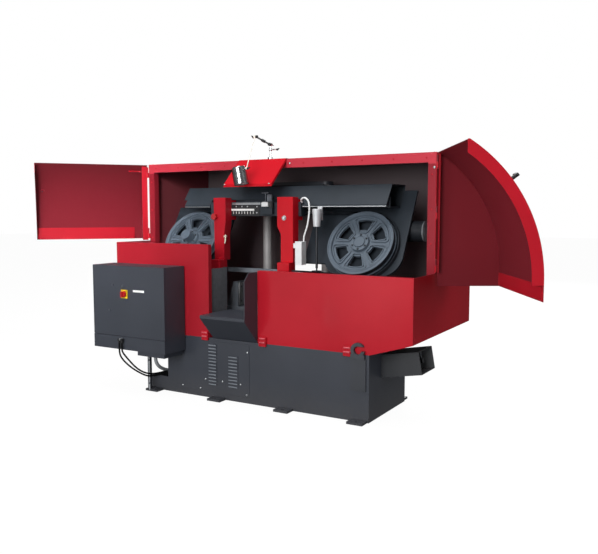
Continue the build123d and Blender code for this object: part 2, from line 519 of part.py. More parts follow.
# Cable glands: elbows on the gland strip, sockets under the duct and on the base end wall
GLAND_X = (-1182, -1152)
GLAND_Y, GLAND_Z = -636, 440
SOCKET_X = BASE_LEFT - 14
with BuildPart() as cable_glands:
    for gland_x in GLAND_X:
        rod((gland_x, CAB_FRONT, GLAND_Z), (gland_x, GLAND_Y - 11, GLAND_Z), 11)
        rod((gland_x, GLAND_Y, GLAND_Z), (gland_x, GLAND_Y, GLAND_Z - 24), 11)
    rod((-960, -440, DUCT_LOW), (-960, -440, 300), 18)
    for end_y, end_z, radius in ((-245, 116, 12), (-262, 142, 12), (-205, 122, 18)):
        rod((BASE_LEFT, end_y, end_z), (SOCKET_X, end_y, end_z), radius)
save(cable_glands, "cable_glands")


def cable(name, points, diameter, full_name):
    """Round cable along straight runs and the largest arcs that they allow."""
    runs = [Vector(b) - Vector(a) for a, b in zip(points, points[1:])]
    turns = [a.get_angle(b) for a, b in zip(runs, runs[1:])]
    radii = [0.45 * min(a.length, b.length) / math.tan(math.radians(turn / 2))
             for a, b, turn in zip(runs, runs[1:], turns)]
    with BuildPart() as tube:
        with BuildLine() as route:
            FilletPolyline(*points, radius=radii)
        path = route.wire()
        with BuildSketch(Plane(origin=path @ 0, z_dir=path % 0)):
            Circle(diameter / 2)
        sweep(path=path)
    section = math.pi * diameter ** 2 / 4
    ratio = tube.part.volume / (section * path.length)
    print(f"{full_name}: length {path.length:.0f} mm, radii", [round(r) for r in radii], f"volume ratio {ratio:.4f}")
    save(tube, name)


CABLE_A_ROUTE = (
    (-1182, -636, 416), (-1182, -636, 356), (-1168, -643, 312), (-1138, -642, 276), (-1097, -628, 236),
    (-1063, -600, 198), (-1042, -558, 164), (-1032, -506, 132), (-1026, -450, 109), (-1005, -395, 109),
    (-976, -340, 113), (-946, -288, 115), (-914, -245, 116))
CABLE_B_ROUTE = (
    (-1152, -636, 416), (-1152, -636, 362), (-1136, -644, 338), (-1098, -648, 308), (-1060, -640, 270),
    (-1035, -618, 230), (-1020, -580, 192), (-1008, -530, 160), (-1000, -475, 139), (-990, -420, 131),
    (-975, -365, 131), (-955, -315, 135), (-935, -281, 140), (-914, -262, 142))
CONDUIT_ROUTE = (
    (-960, -440, 300), (-960, -440, 258), (-965, -418, 218), (-974, -380, 186), (-981, -340, 164),
    (-983, -296, 143), (-973, -254, 129), (-950, -222, 123), (-914, -205, 122))
cable("cable_outer", CABLE_A_ROUTE, CABLE_D, "outer cable")
cable("cable_inner", CABLE_B_ROUTE, CABLE_D, "inner cable")
cable("conduit", CONDUIT_ROUTE, CONDUIT_D, "conduit")

# Lift cylinder on the pedestal, and the rod that carries the head
LIFT_R, LIFT_BORE, LIFT_HEAD, LIFT_TOP = 45, 34, 960, 1000
LIFT_FLANGE_R, LIFT_FLANGE, LIFT_FLOOR = 65, 20, 500
PISTON_LOW, PISTON, PISTON_R = 860, 30, 33


def lift_line(z):
    """Point on the lift axis at a height."""
    return LIFT_X, COLUMN_Y, z


with BuildPart() as lift_cylinder:
    rod(lift_line(BASE_TOP), lift_line(LIFT_TOP), LIFT_R)
    rod(lift_line(BASE_TOP), lift_line(BASE_TOP + LIFT_FLANGE), LIFT_FLANGE_R)
    rod(lift_line(LIFT_FLOOR), lift_line(LIFT_HEAD), LIFT_BORE, mode=Mode.SUBTRACT)
    rod(lift_line(LIFT_HEAD - 1), lift_line(LIFT_TOP + 1), LIFT_ROD_R + FIT, mode=Mode.SUBTRACT)
save(lift_cylinder, "lift_cylinder")

with BuildPart() as lift_rod:
    rod(lift_line(PISTON_LOW), lift_line(CARRIAGE_LOW + 10), LIFT_ROD_R)
    rod(lift_line(PISTON_LOW), lift_line(PISTON_LOW + PISTON), PISTON_R)
save(lift_rod, "lift_rod")

# Hydraulic unit inside the base: tank with a pump motor and an accumulator on its lid
TANK_X, TANK_Y, TANK_TOP = (-860, -480), (-260, 120), 240
TANK_WALL, TANK_LID, TANK_ROUND = 8, 10, 15
UNIT_Y, UNIT_TOP, UNIT_BARRELS = -70, 430, ((-760, 80), (-580, 55))
with BuildPart() as hydraulic_unit:
    block(TANK_X, TANK_Y, (FLOOR + BASE_WALL, TANK_TOP))
    fillet(hydraulic_unit.edges().filter_by(Axis.Z), TANK_ROUND)
    block((TANK_X[0] + TANK_WALL, TANK_X[1] - TANK_WALL), (TANK_Y[0] + TANK_WALL, TANK_Y[1] - TANK_WALL),
          (FLOOR + BASE_WALL - 1, TANK_TOP - TANK_LID), mode=Mode.SUBTRACT)
    for unit_x, radius in UNIT_BARRELS:
        rod((unit_x, UNIT_Y, TANK_TOP), (unit_x, UNIT_Y, UNIT_TOP), radius)
save(hydraulic_unit, "hydraulic_unit")

# Hood hinges: fixed knuckles, each with its leaf and pin
LEFT_HINGE_Z, RIGHT_HINGE_Z = (1310, 1870), (1110, 1500, 1870)
KNUCKLE, HINGE_GAP = 48, 1
HINGE_SIDES = ((LEFT_X - HINGE_OUT, 1, LEFT_HINGE_Z), (RIGHT_X + HINGE_OUT, -1, RIGHT_HINGE_Z))
with BuildPart() as hood_hinges:
    for hinge_x, way, heights in HINGE_SIDES:
        for z in heights:
            rod((hinge_x, HINGE_Y, z - KNUCKLE), (hinge_x, HINGE_Y, z - HINGE_GAP), KNUCKLE_R)
            rod((hinge_x, HINGE_Y, z - KNUCKLE), (hinge_x, HINGE_Y, z + KNUCKLE), PIN_R)
            leaf_x = sorted((hinge_x + way * 3, hinge_x + way * HINGE_OUT))
            block(leaf_x, (HINGE_Y, HINGE_Y + LEAF), (z - KNUCKLE, z - HINGE_GAP))
save(hood_hinges, "hood_hinges")


def hood_angle(radius, z):
    """Angle on the hood arc at height z; below the arc's centre the section runs straight down."""
    return math.degrees(math.asin(max(z - HOOD_Z_C, 0) / radius))


def hood_band(outer_r, inner_r, z_low, z_high):
    """Section between two hood arcs, from z_low to z_high."""
    centre = (HOOD_DEPTH_C, HOOD_Z_C)
    with BuildLine() as edge:
        arcs = []
        for radius in (outer_r, inner_r):
            start = hood_angle(radius, z_low)
            arcs.append(CenterArc(centre, radius, start, hood_angle(radius, z_high) - start))
        foot = [(HOOD_DEPTH_C + r, z_low) for r in (outer_r, inner_r)] if z_low < HOOD_Z_C else []
        Polyline(arcs[0] @ 0, *foot, arcs[1] @ 0)
        Line(arcs[0] @ 1, arcs[1] @ 1)
    make_face(edge.edges())


HOOD_STRIP, HOOD_WALL_TOP, HOOD_SEAT = 50, 1925, 12
HOOD_FLANGE_STOP = -6
STIFFENER_FOOT, STIFFENER_START = 24, 80
LATCH_INSET, LATCH_BOSS_R = 60, 20


def hood_door(hinge_x, side, open_deg, width, z_low, flange_low, hinge_z, stiffened):
    """Curved hood on its hinge line, swung open: side is +1 for the left hood and -1 for the right."""
    turn = math.radians(-side * open_deg)
    out = Vector(math.sin(turn), -math.cos(turn), 0)
    along = Vector(math.cos(turn), math.sin(turn), 0) * side
    section = Plane(origin=(hinge_x, HINGE_Y, 0), x_dir=out, z_dir=along * -side)
    reach = HOOD_DEPTH_C + HOOD_R
    with BuildPart() as hood:
        with BuildSketch(section.offset(-side * 3)):
            hood_band(HOOD_R, HOOD_R - HOOD_SHEET, z_low, HOOD_TOP)
        extrude(amount=-side * (width - 3))
        # end wall on the hinge side
        with BuildSketch(section.offset(-side * 3)):
            with BuildLine():
                start = hood_angle(HOOD_R, z_low)
                rim = CenterArc((HOOD_DEPTH_C, HOOD_Z_C), HOOD_R, start, hood_angle(HOOD_R, HOOD_WALL_TOP) - start)
                foot = [(reach, z_low)] if z_low < HOOD_Z_C else []
                Polyline(rim @ 0, *foot, (HOOD_SEAT, z_low), (HOOD_SEAT, HOOD_WALL_TOP), rim @ 1)
            make_face()
        extrude(amount=-side * HOOD_SHEET)
        # closing strip beside the hinge, and the flange round the free end
        with BuildSketch(section.offset(-side * 3)):
            with Locations((HOOD_SEAT + HOOD_SHEET / 2, (flange_low + HOOD_WALL_TOP) / 2)):
                Rectangle(HOOD_SHEET, HOOD_WALL_TOP - flange_low)
        extrude(amount=-side * HOOD_STRIP)
        with BuildSketch(section.offset(-side * (width - HOOD_SHEET))):
            hood_band(HOOD_R, HOOD_R - HOOD_END_FLANGE, flange_low, HOOD_TOP)
            with Locations((HOOD_FLANGE_STOP - HOOD_R / 2, HOOD_TOP)):
                Rectangle(HOOD_R, HOOD_R, mode=Mode.SUBTRACT)
        extrude(amount=-side * HOOD_SHEET)
        if stiffened:
            # folded stiffener along the lower edge
            inner_low = math.sqrt((HOOD_R - HOOD_SHEET) ** 2 - max(z_low - HOOD_Z_C, 0) ** 2) + HOOD_DEPTH_C
            stand = inner_low - STIFFENER_FOOT
            top = math.sqrt((HOOD_R - HOOD_SHEET) ** 2 - (stand - HOOD_DEPTH_C) ** 2) + HOOD_Z_C
            with BuildSketch(section.offset(-side * STIFFENER_START)):
                outline(((inner_low + 1, z_low), (stand, z_low), (stand, top), (stand + HOOD_SHEET, top),
                         (stand + HOOD_SHEET, z_low + HOOD_SHEET), (inner_low + 1, z_low + HOOD_SHEET)))
            extrude(amount=-side * (width - STIFFENER_START - HOOD_SHEET))
        # knuckles and leaves on the hinge pins
        for z in hinge_z:
            span = (z + HINGE_GAP, z + KNUCKLE)
            with BuildSketch(Plane(section.origin + Vector(0, 0, span[0]), x_dir=out, z_dir=(0, 0, 1))):
                Circle(KNUCKLE_R)
                with Locations((LEAF / 2, side * HOOD_SHEET / 2)):
                    Rectangle(LEAF, HOOD_SHEET)
                Circle(PIN_R + FIT, mode=Mode.SUBTRACT)
            extrude(amount=KNUCKLE - HINGE_GAP)
        # boss for the latch handle
        lean = math.radians(hood_angle(HOOD_R, LATCH_Z))
        face = out * math.cos(lean) + Vector(0, 0, math.sin(lean))
        spot = section.origin + along * (width - LATCH_INSET)
        spot += out * (HOOD_DEPTH_C + HOOD_R * math.cos(lean)) + Vector(0, 0, LATCH_Z)
        rod(spot - face * 6, spot + face * 4, LATCH_BOSS_R)
        rod(spot - face * 7, spot + face * 5, LATCH_SPINDLE + FIT, mode=Mode.SUBTRACT)
    return hood, Plane(origin=spot + face * 4.4, x_dir=along, z_dir=face)


left_hood, left_latch = hood_door(LEFT_X - HINGE_OUT, 1, LEFT_HOOD_OPEN, LEFT_HOOD_WIDTH, LEFT_HOOD_LOW,
                                  LEFT_HOOD_LOW, LEFT_HINGE_Z, True)
save(left_hood, "left_hood")
right_hood, right_latch = hood_door(RIGHT_X + HINGE_OUT, -1, RIGHT_HOOD_OPEN, RIGHT_HOOD_WIDTH,
                                    RIGHT_HOOD_LOW, RIGHT_TOP_Z + 12, RIGHT_HINGE_Z, False)
save(right_hood, "right_hood")


LATCH_NECK, LATCH_NECK_R = 42, 12
LEVER_LENGTH, LEVER_WIDTH, LEVER_THICK = 86, 22, 12


def latch_handle(seat, name):
    """Quarter-turn handle: tall round neck with a lever across its top, lying along the hood."""
    with BuildPart() as handle:
        with BuildSketch(seat):
            Circle(LATCH_NECK_R)
        extrude(amount=LATCH_NECK)
        with BuildSketch(seat.offset(LATCH_NECK)):
            with Locations((-LEVER_LENGTH / 4, 0)):
                SlotOverall(LEVER_LENGTH, LEVER_WIDTH)
        extrude(amount=LEVER_THICK)
        rod(seat.origin, seat.origin - seat.z_dir * 14, LATCH_SPINDLE)
    save(handle, name)


latch_handle(left_latch, "left_latch_handle")
latch_handle(right_latch, "right_latch_handle")


def wheel_plane(x, w=0):
    """Plane of a band wheel at x: sketch x is machine X, sketch y climbs the wheel, normal faces the front."""
    tilt = math.radians(WHEEL_TILT)
    face = Plane(origin=(x, WHEEL_Y, WHEEL_Z), x_dir=(1, 0, 0), z_dir=(0, -math.cos(tilt), math.sin(tilt)))
    return face.offset(w)


def wheel_point(x, v, w):
    """Machine point at climb v and forward offset w in the wheel plane."""
    return wheel_plane(x, w).from_local_coords((0, v, 0))


# Saw frame: hollow beam, sloped guards, wheel backplates with ribs and rim guards, and the tension slideway
SLIDE_HALF_X, SLIDE_HALF_V = 80, 70
SLIDE_BACK, SLIDE_FACE = -69.6, -38
SLIDE_KEEPER, KEEPER_THICK = 30, 4.5
BACKPLATE_LOW, BACKPLATE_HIGH, BACKPLATE_ROUND = -250, 372, 180
IDLER_PLATE, DRIVE_PLATE = (IDLER_X - 328, IDLER_X + 328), (382, 1050)
APRON_LEFT, APRON_LOW = 200, -150
EAR_HIGH = 520
RIM_GUARD_IN, RIM_GUARD_OUT, RIM_GUARD_FRONT, RIM_GUARD_SWEEP = 296, 300, -30, 145
GUARDS = ((BEAM_LEFT + 34, RAIL_LEFT - 5), (RAIL_RIGHT + 10, BEAM_RIGHT))
LIP_FRONT, LIP_BACK, LIP_LOW, LIP_HIGH = 36, 50, 1547, 1565
RIBS, RIB_THICK = (-1244, -700, 420, 560), 14
SHAFT_HOLE_R = 45
HOSE_BOSS_R, HOSE_BOSS, HOSE_LEAD = 10, 20, 51
hose_root = Vector(208, 41, 1572)
hose_way = Vector(0, -0.806, 0.592)
with BuildPart() as saw_frame:
    beam = ((BEAM_FRONT, BEAM_NOSE_Z), (BEAM_CREST_Y, BEAM_HIGH), (BEAM_BACK, BEAM_HIGH), (BEAM_BACK, BEAM_LOW),
            (RAIL_BACK, BEAM_LOW), (RAIL_BACK, BEAM_NOSE_Z))
    with BuildSketch(side_profile(BEAM_LEFT)):
        outline(beam)
        offset(amount=-BEAM_WALL, kind=Kind.INTERSECTION, mode=Mode.SUBTRACT)
    extrude(amount=BEAM_RIGHT - BEAM_LEFT)
    for guard in GUARDS:
        with BuildSketch(side_profile(guard[0])):
            outline(((BEAM_FRONT + 6, BEAM_NOSE_Z + 8), (LIP_FRONT + 4, LIP_HIGH + 4), (LIP_FRONT, LIP_HIGH),
                     (LIP_FRONT, LIP_LOW), (LIP_BACK, LIP_LOW), (LIP_BACK, LIP_HIGH - 2),
                     (BEAM_FRONT + 16, BEAM_NOSE_Z + 2)))
        extrude(amount=guard[1] - guard[0])
    for left_x, right_x in (IDLER_PLATE, DRIVE_PLATE):
        with BuildSketch(wheel_plane(0, PLATE_FAR)) as backplate:
            with Locations(((left_x + right_x) / 2, (BACKPLATE_LOW + BACKPLATE_HIGH) / 2)):
                Rectangle(right_x - left_x, BACKPLATE_HIGH - BACKPLATE_LOW)
            fillet(backplate.vertices().group_by(Axis.Y)[0], BACKPLATE_ROUND)
        extrude(amount=PLATE_NEAR - PLATE_FAR)
    # apron towards the right arm, and the ear past the beam's end
    with BuildSketch(wheel_plane(0, PLATE_FAR)):
        with Locations(((APRON_LEFT + DRIVE_X) / 2, (APRON_LOW + BACKPLATE_HIGH) / 2)):
            Rectangle(DRIVE_X - APRON_LEFT, BACKPLATE_HIGH - APRON_LOW)
        with Locations(((BEAM_RIGHT + DRIVE_PLATE[1]) / 2, EAR_HIGH / 2)):
            Rectangle(DRIVE_PLATE[1] - BEAM_RIGHT, EAR_HIGH)
    extrude(amount=PLATE_NEAR - PLATE_FAR)
    # curved guards round the outer half of each rim
    for centre_x, start in ((IDLER_X, 90), (DRIVE_X, 90 - RIM_GUARD_SWEEP)):
        with BuildSketch(wheel_plane(centre_x, PLATE_NEAR - 1)):
            with BuildLine():
                near = CenterArc((0, 0), RIM_GUARD_IN, start, RIM_GUARD_SWEEP)
                far = CenterArc((0, 0), RIM_GUARD_OUT, start, RIM_GUARD_SWEEP)
                Line(near @ 0, far @ 0)
                Line(near @ 1, far @ 1)
            make_face()
        extrude(amount=RIM_GUARD_FRONT - PLATE_NEAR + 1)
    for rib_x in RIBS:
        foot, head = wheel_point(rib_x, -20, PLATE_FAR + 1), wheel_point(rib_x, BACKPLATE_HIGH, PLATE_FAR + 1)
        with BuildSketch(side_profile(rib_x)):
            outline(((foot.Y, foot.Z), (head.Y, head.Z), (head.Y, BEAM_LOW + 2), (BEAM_BACK - 4, BEAM_LOW + 2),
                     (BEAM_BACK - 4, BEAM_LOW - 30)))
        extrude(amount=RIB_THICK)
    with BuildSketch(wheel_plane(DRIVE_X, PLATE_FAR)):
        Circle(SHAFT_HOLE_R)
    extrude(amount=PLATE_NEAR - PLATE_FAR, mode=Mode.SUBTRACT)
    for way in (-1, 1):
        with BuildSketch(wheel_plane(IDLER_X + 15, PLATE_NEAR)):
            with Locations((0, way * (SLIDE_HALF_V + RUN_GAP + SLIDE_KEEPER / 2))):
                Rectangle(2 * SLIDE_HALF_X + 70, SLIDE_KEEPER)
        extrude(amount=SLIDE_FACE - PLATE_NEAR + RUN_GAP)
        with BuildSketch(wheel_plane(IDLER_X + 15, SLIDE_FACE + RUN_GAP)):
            with Locations((0, way * (SLIDE_HALF_V + RUN_GAP + 5))):
                Rectangle(2 * SLIDE_HALF_X + 70, SLIDE_KEEPER + 20)
        extrude(amount=KEEPER_THICK)
    rod(hose_root - hose_way * 8, hose_root + hose_way * HOSE_BOSS, HOSE_BOSS_R)
save(saw_frame, "saw_frame")

# Head carriage: back plate and two column sleeves with bronze bushes, and the lift bracket
with BuildPart() as head_carriage:
    block((COLUMN_X[0] - 92, COLUMN_X[1] + 92), (BEAM_BACK, BEAM_BACK + 25), (CARRIAGE_LOW + 10, CARRIAGE_HIGH))
    for column_x in COLUMN_X:
        for web_x in (column_x - 50, column_x + 30):
            block((web_x, web_x + 20), (BEAM_BACK + 25, COLUMN_Y), (CARRIAGE_LOW + 10, CARRIAGE_HIGH))
        rod((column_x, COLUMN_Y, CARRIAGE_LOW), (column_x, COLUMN_Y, CARRIAGE_HIGH), SLEEVE_R)
    block((COLUMN_X[1] + 55, LIFT_X + 40), (COLUMN_Y - 40, COLUMN_Y + 40),
          (CARRIAGE_LOW + 10, CARRIAGE_LOW + 50))
    for column_x in COLUMN_X:
        low, high = (column_x, COLUMN_Y, CARRIAGE_LOW), (column_x, COLUMN_Y, CARRIAGE_HIGH)
        rod(low, high, COLUMN_R + 2, mode=Mode.SUBTRACT)
        lift = Vector(0, 0, BUSH_LENGTH)
        rod(low, Vector(low) + lift, BUSH_R, mode=Mode.SUBTRACT)
        rod(high, Vector(high) - lift, BUSH_R, mode=Mode.SUBTRACT)
save(head_carriage, "head_carriage")

with BuildPart() as carriage_bushes:
    for column_x in COLUMN_X:
        for z in (CARRIAGE_LOW, CARRIAGE_HIGH - BUSH_LENGTH):
            with BuildSketch(Plane.XY.offset(z)):
                with Locations((column_x, COLUMN_Y)):
                    Circle(BUSH_R)
                    Circle(COLUMN_R + FIT, mode=Mode.SUBTRACT)
            extrude(amount=BUSH_LENGTH)
save(carriage_bushes, "carriage_bushes")

# Gearbox behind the drive backplate, with the finned motor on its side
GEAR_LEFT, GEAR_RIGHT, GEAR_LOW, GEAR_HIGH, GEAR_DEEP = 640, 800, -95, 300, 150
MOTOR_V, MOTOR_W, MOTOR_R, MOTOR_LENGTH = 210, -175, 82, 340
MOTOR_CORE, MOTOR_FINS = 67, 28
with BuildPart() as gearbox:
    with BuildSketch(wheel_plane(0, PLATE_FAR - GEAR_DEEP)):
        with Locations(((GEAR_LEFT + GEAR_RIGHT) / 2, (GEAR_LOW + GEAR_HIGH) / 2)):
            RectangleRounded(GEAR_RIGHT - GEAR_LEFT, GEAR_HIGH - GEAR_LOW, 40)
    extrude(amount=GEAR_DEEP - 20)
    with BuildSketch(wheel_plane(0, PLATE_FAR - 20)):
        with Locations(((GEAR_LEFT + GEAR_RIGHT) / 2, (GEAR_LOW + GEAR_HIGH) / 2)):
            RectangleRounded(GEAR_RIGHT - GEAR_LEFT, GEAR_HIGH - GEAR_LOW + 50, 40)
    extrude(amount=20)
    rod(wheel_point(DRIVE_X, 0, PLATE_FAR - 100), wheel_point(DRIVE_X, 0, PLATE_FAR), SHAFT_R + 0.5,
        mode=Mode.SUBTRACT)
save(gearbox, "gearbox")

motor_start = wheel_point(GEAR_RIGHT, MOTOR_V, MOTOR_W)
with BuildPart() as drive_motor:
    with BuildSketch(Plane(origin=motor_start, x_dir=(0, 1, 0), z_dir=(1, 0, 0))):
        Circle(MOTOR_R - 12)
    extrude(amount=MOTOR_LENGTH)
    with BuildSketch(Plane(origin=motor_start + Vector(24, 0, 0), x_dir=(0, 1, 0), z_dir=(1, 0, 0))):
        Circle(MOTOR_CORE)
        with PolarLocations(MOTOR_CORE + 5, MOTOR_FINS):
            Rectangle(20, 4)
    extrude(amount=220)
    for start, length in ((0, 24), (252, 88)):
        with BuildSketch(Plane(origin=motor_start + Vector(start, 0, 0), x_dir=(0, 1, 0), z_dir=(1, 0, 0))):
            Circle(MOTOR_R)
        extrude(amount=length)
save(drive_motor, "drive_motor")


def windows(builder, grow):
    """Six rounded spoke windows in the current sketch, each side moved out by grow."""
    Circle(WINDOW_OUT + grow)
    Circle(WINDOW_IN - grow, mode=Mode.SUBTRACT)
    with PolarLocations(WINDOW_OUT / 2, SPOKES):
        Rectangle(WINDOW_OUT + 40, SPOKE_WIDTH - 2 * grow, mode=Mode.SUBTRACT)
    fillet(builder.vertices(), WINDOW_ROUND + grow)


def band_wheel(x, bore):
    """Cast band wheel: grooved rim with a rear flange, thin web, six raised windows, stepped hub."""
    with BuildPart() as wheel:
        with BuildSketch(Plane(origin=wheel_plane(x).origin, x_dir=(1, 0, 0), z_dir=-wheel_plane(x).y_dir)):
            half = RIM_WIDTH / 2
            outline(((bore + FIT, -HUB_HALF), (HUB_R, -HUB_HALF), (HUB_R + 6, -WEB_HALF), (RIM_INNER - 6, -WEB_HALF),
                     (RIM_INNER, -half - RIM_FLANGE), (WHEEL_R + RIM_FLANGE, -half - RIM_FLANGE),
                     (WHEEL_R + RIM_FLANGE, -half), (WHEEL_R, -half), (WHEEL_R, half), (WHEEL_R - 8, half),
                     (WHEEL_R - 11, half - 3), (RIM_INNER + 9, half - 3), (RIM_INNER + 6, half),
                     (RIM_INNER, half), (RIM_INNER - 6, WEB_HALF), (HUB_R + 6, WEB_HALF), (HUB_R, HUB_HALF),
                     (HUB_R - 22, HUB_HALF), (HUB_R - 25, HUB_HALF - 4), (bore + FIT, HUB_HALF - 4)))
        axis_line = Axis(wheel_plane(x).origin, wheel_plane(x).z_dir)
        revolve(axis=axis_line)
        with BuildSketch(wheel_plane(x, -WEB_HALF - WINDOW_RAISE)) as border:
            windows(border, WINDOW_RIM)
        extrude(amount=2 * (WEB_HALF + WINDOW_RAISE))
        with BuildSketch(wheel_plane(x, -RIM_WIDTH)) as hole:
            windows(hole, 0)
        extrude(amount=2 * RIM_WIDTH, mode=Mode.SUBTRACT)
    return wheel


drive_wheel = band_wheel(DRIVE_X, SHAFT_R)
save(drive_wheel, "drive_wheel")
idler_wheel = band_wheel(IDLER_X, AXLE_R)
save(idler_wheel, "idler_wheel")

with BuildPart() as drive_shaft:
    rod(wheel_point(DRIVE_X, 0, -160), wheel_point(DRIVE_X, 0, HUB_HALF - 4), SHAFT_R)
    rod(wheel_point(DRIVE_X, 0, HUB_HALF - 4), wheel_point(DRIVE_X, 0, HUB_HALF + 6), SHAFT_R + 12)
save(drive_shaft, "drive_shaft")

# Tension slide with the idler axle and its end cap
AXLE_CAP, AXLE_CAP_R = 105, 48
with BuildPart() as tension_slide:
    with BuildSketch(wheel_plane(IDLER_X, SLIDE_BACK)):
        Rectangle(2 * SLIDE_HALF_X, 2 * SLIDE_HALF_V)
    extrude(amount=SLIDE_FACE - SLIDE_BACK)
    rod(wheel_point(IDLER_X, 0, SLIDE_FACE - 5), wheel_point(IDLER_X, 0, HUB_HALF - 3), AXLE_R)
    rod(wheel_point(IDLER_X, 0, HUB_HALF - 3.6), wheel_point(IDLER_X, 0, HUB_HALF + 2), AXLE_R + 14)
    rod(wheel_point(IDLER_X, 0, HUB_HALF + 1), wheel_point(IDLER_X, 0, AXLE_CAP), AXLE_CAP_R)
save(tension_slide, "tension_slide")

# Band blade: round both wheels, then twisted upright between the guide blocks
band_r = WHEEL_R + BAND_GAP + BAND_THICK / 2
low_point = wheel_point(0, -band_r, 0)
TWIST_START = 40


def band_section(x, degrees):
    """Plane across the band at x, sketch x along its width to the tooth edge."""
    angle = math.radians(degrees)
    return Plane(origin=(x, low_point.Y, low_point.Z), x_dir=(0, math.cos(angle), math.sin(angle)), z_dir=(1, 0, 0))


with BuildPart() as saw_blade:
    span = DRIVE_X - IDLER_X
    with BuildSketch(wheel_plane((DRIVE_X + IDLER_X) / 2, -BAND_WIDTH / 2)):
        SlotCenterToCenter(span, 2 * band_r + BAND_THICK)
        SlotCenterToCenter(span, 2 * band_r - BAND_THICK, mode=Mode.SUBTRACT)
        with Locations((0, -band_r)):
            Rectangle(span - 2 * TWIST_START, 60, mode=Mode.SUBTRACT)
    extrude(amount=BAND_WIDTH)
    for wheel_x, guide_x in ((IDLER_X + TWIST_START, STRAIGHT_LEFT), (DRIVE_X - TWIST_START, STRAIGHT_RIGHT)):
        for step in range(TWIST_STEPS + 1):
            share = step / TWIST_STEPS
            place = wheel_x + (guide_x - wheel_x) * share
            with BuildSketch(band_section(place, -WHEEL_TILT - (90 - WHEEL_TILT) * share)):
                Rectangle(BAND_WIDTH, BAND_THICK)
        loft(ruled=True)
    teeth = int((STRAIGHT_RIGHT - STRAIGHT_LEFT) / TOOTH_PITCH)
    edge_z = low_point.Z - BAND_WIDTH / 2
    start_x = (STRAIGHT_LEFT + STRAIGHT_RIGHT - teeth * TOOTH_PITCH) / 2
    saw_edge = []
    for i in range(teeth):
        root_x = start_x + i * TOOTH_PITCH
        saw_edge += [(root_x, edge_z), (root_x + 3, edge_z + TOOTH_DEPTH), (root_x + 8, edge_z + TOOTH_DEPTH - 1)]
    with BuildSketch(front_profile(low_point.Y + BAND_THICK / 2)):
        outline([(STRAIGHT_LEFT, edge_z + BAND_WIDTH), (STRAIGHT_LEFT, edge_z)] + saw_edge[1:]
                + [(STRAIGHT_RIGHT, edge_z), (STRAIGHT_RIGHT, edge_z + BAND_WIDTH)])
    extrude(amount=BAND_THICK)
save(saw_blade, "saw_blade")

# Guide rail under the beam with the switch box on its front, and its scale plate
SWITCH_BOX_X, SWITCH_BOX_Y, SWITCH_BOX_Z = (-177, -64), (0, 41), (1487, 1539)
SCALE_X, SCALE_Z, SCALE_THICK = (-518, -210), (1472, 1566), 3
with BuildPart() as guide_rail:
    block((RAIL_LEFT, RAIL_RIGHT), (RAIL_FRONT, RAIL_BACK), (RAIL_LOW, RAIL_HIGH))
    chamfer(guide_rail.edges().filter_by(Axis.X).group_by(Axis.Y)[0], 4)
    block(SWITCH_BOX_X, SWITCH_BOX_Y, SWITCH_BOX_Z)
    fillet(guide_rail.edges().filter_by(Axis.Z).group_by(Axis.Y)[0], 6)
save(guide_rail, "guide_rail")

with BuildPart() as scale_plate:
    block(SCALE_X, (RAIL_FRONT - SCALE_THICK, RAIL_FRONT), SCALE_Z)
save(scale_plate, "scale_plate")

# Guide arms: box arms hooked over the rail, their inner edge stepping in to a slotted guide block
BLOCK_FRONT, BLOCK_REAR, BLOCK_LOW = -110, -10, 1008
BLOCK_INSET, BLOCK_SLOT, HOOK_DEPTH = 2, 2.4, 18
POCKET_WALL, POCKET_FOOT = 14, 20
CLAMP_X, CLAMP_Z, CLAMP_SPINDLE = -603, 1466, 6


def guide_arm(edge, foot, step_low, clamp):
    """Arm from the rail down to the band: edge is its outline, foot the width of its lower part."""
    span = (edge[0][0], edge[1][0])
    block_span = (foot[0] + BLOCK_INSET, foot[1] - BLOCK_INSET)
    with BuildPart() as arm:
        with BuildSketch(front_profile(ARM_BACK)):
            outline(edge)
        extrude(amount=ARM_BACK - ARM_FRONT)
        block((foot[0] + POCKET_WALL, foot[1] - POCKET_WALL), (ARM_FRONT + POCKET_WALL, ARM_BACK + 1),
              (ARM_FOOT + POCKET_FOOT, step_low - POCKET_FOOT), mode=Mode.SUBTRACT)
        block(span, (ARM_BACK - 1, 105), (RAIL_HIGH + RUN_GAP, RAIL_HIGH + HOOK_DEPTH))
        block(span, (ARM_BACK - 1, 105), (RAIL_LOW - 30, RAIL_LOW - RUN_GAP))
        block(block_span, (BLOCK_FRONT, BLOCK_REAR), (BLOCK_LOW, ARM_FOOT))
        slot_mid = low_point.Y
        block((block_span[0] - 1, block_span[1] + 1), (slot_mid - BLOCK_SLOT / 2, slot_mid + BLOCK_SLOT / 2),
              (BLOCK_LOW - 1, low_point.Z + BAND_WIDTH / 2 + 1.5), mode=Mode.SUBTRACT)
        if clamp:
            rod((CLAMP_X, ARM_FRONT + 40, CLAMP_Z), (CLAMP_X, ARM_FRONT - 1, CLAMP_Z), CLAMP_SPINDLE + FIT,
                mode=Mode.SUBTRACT)
    return arm


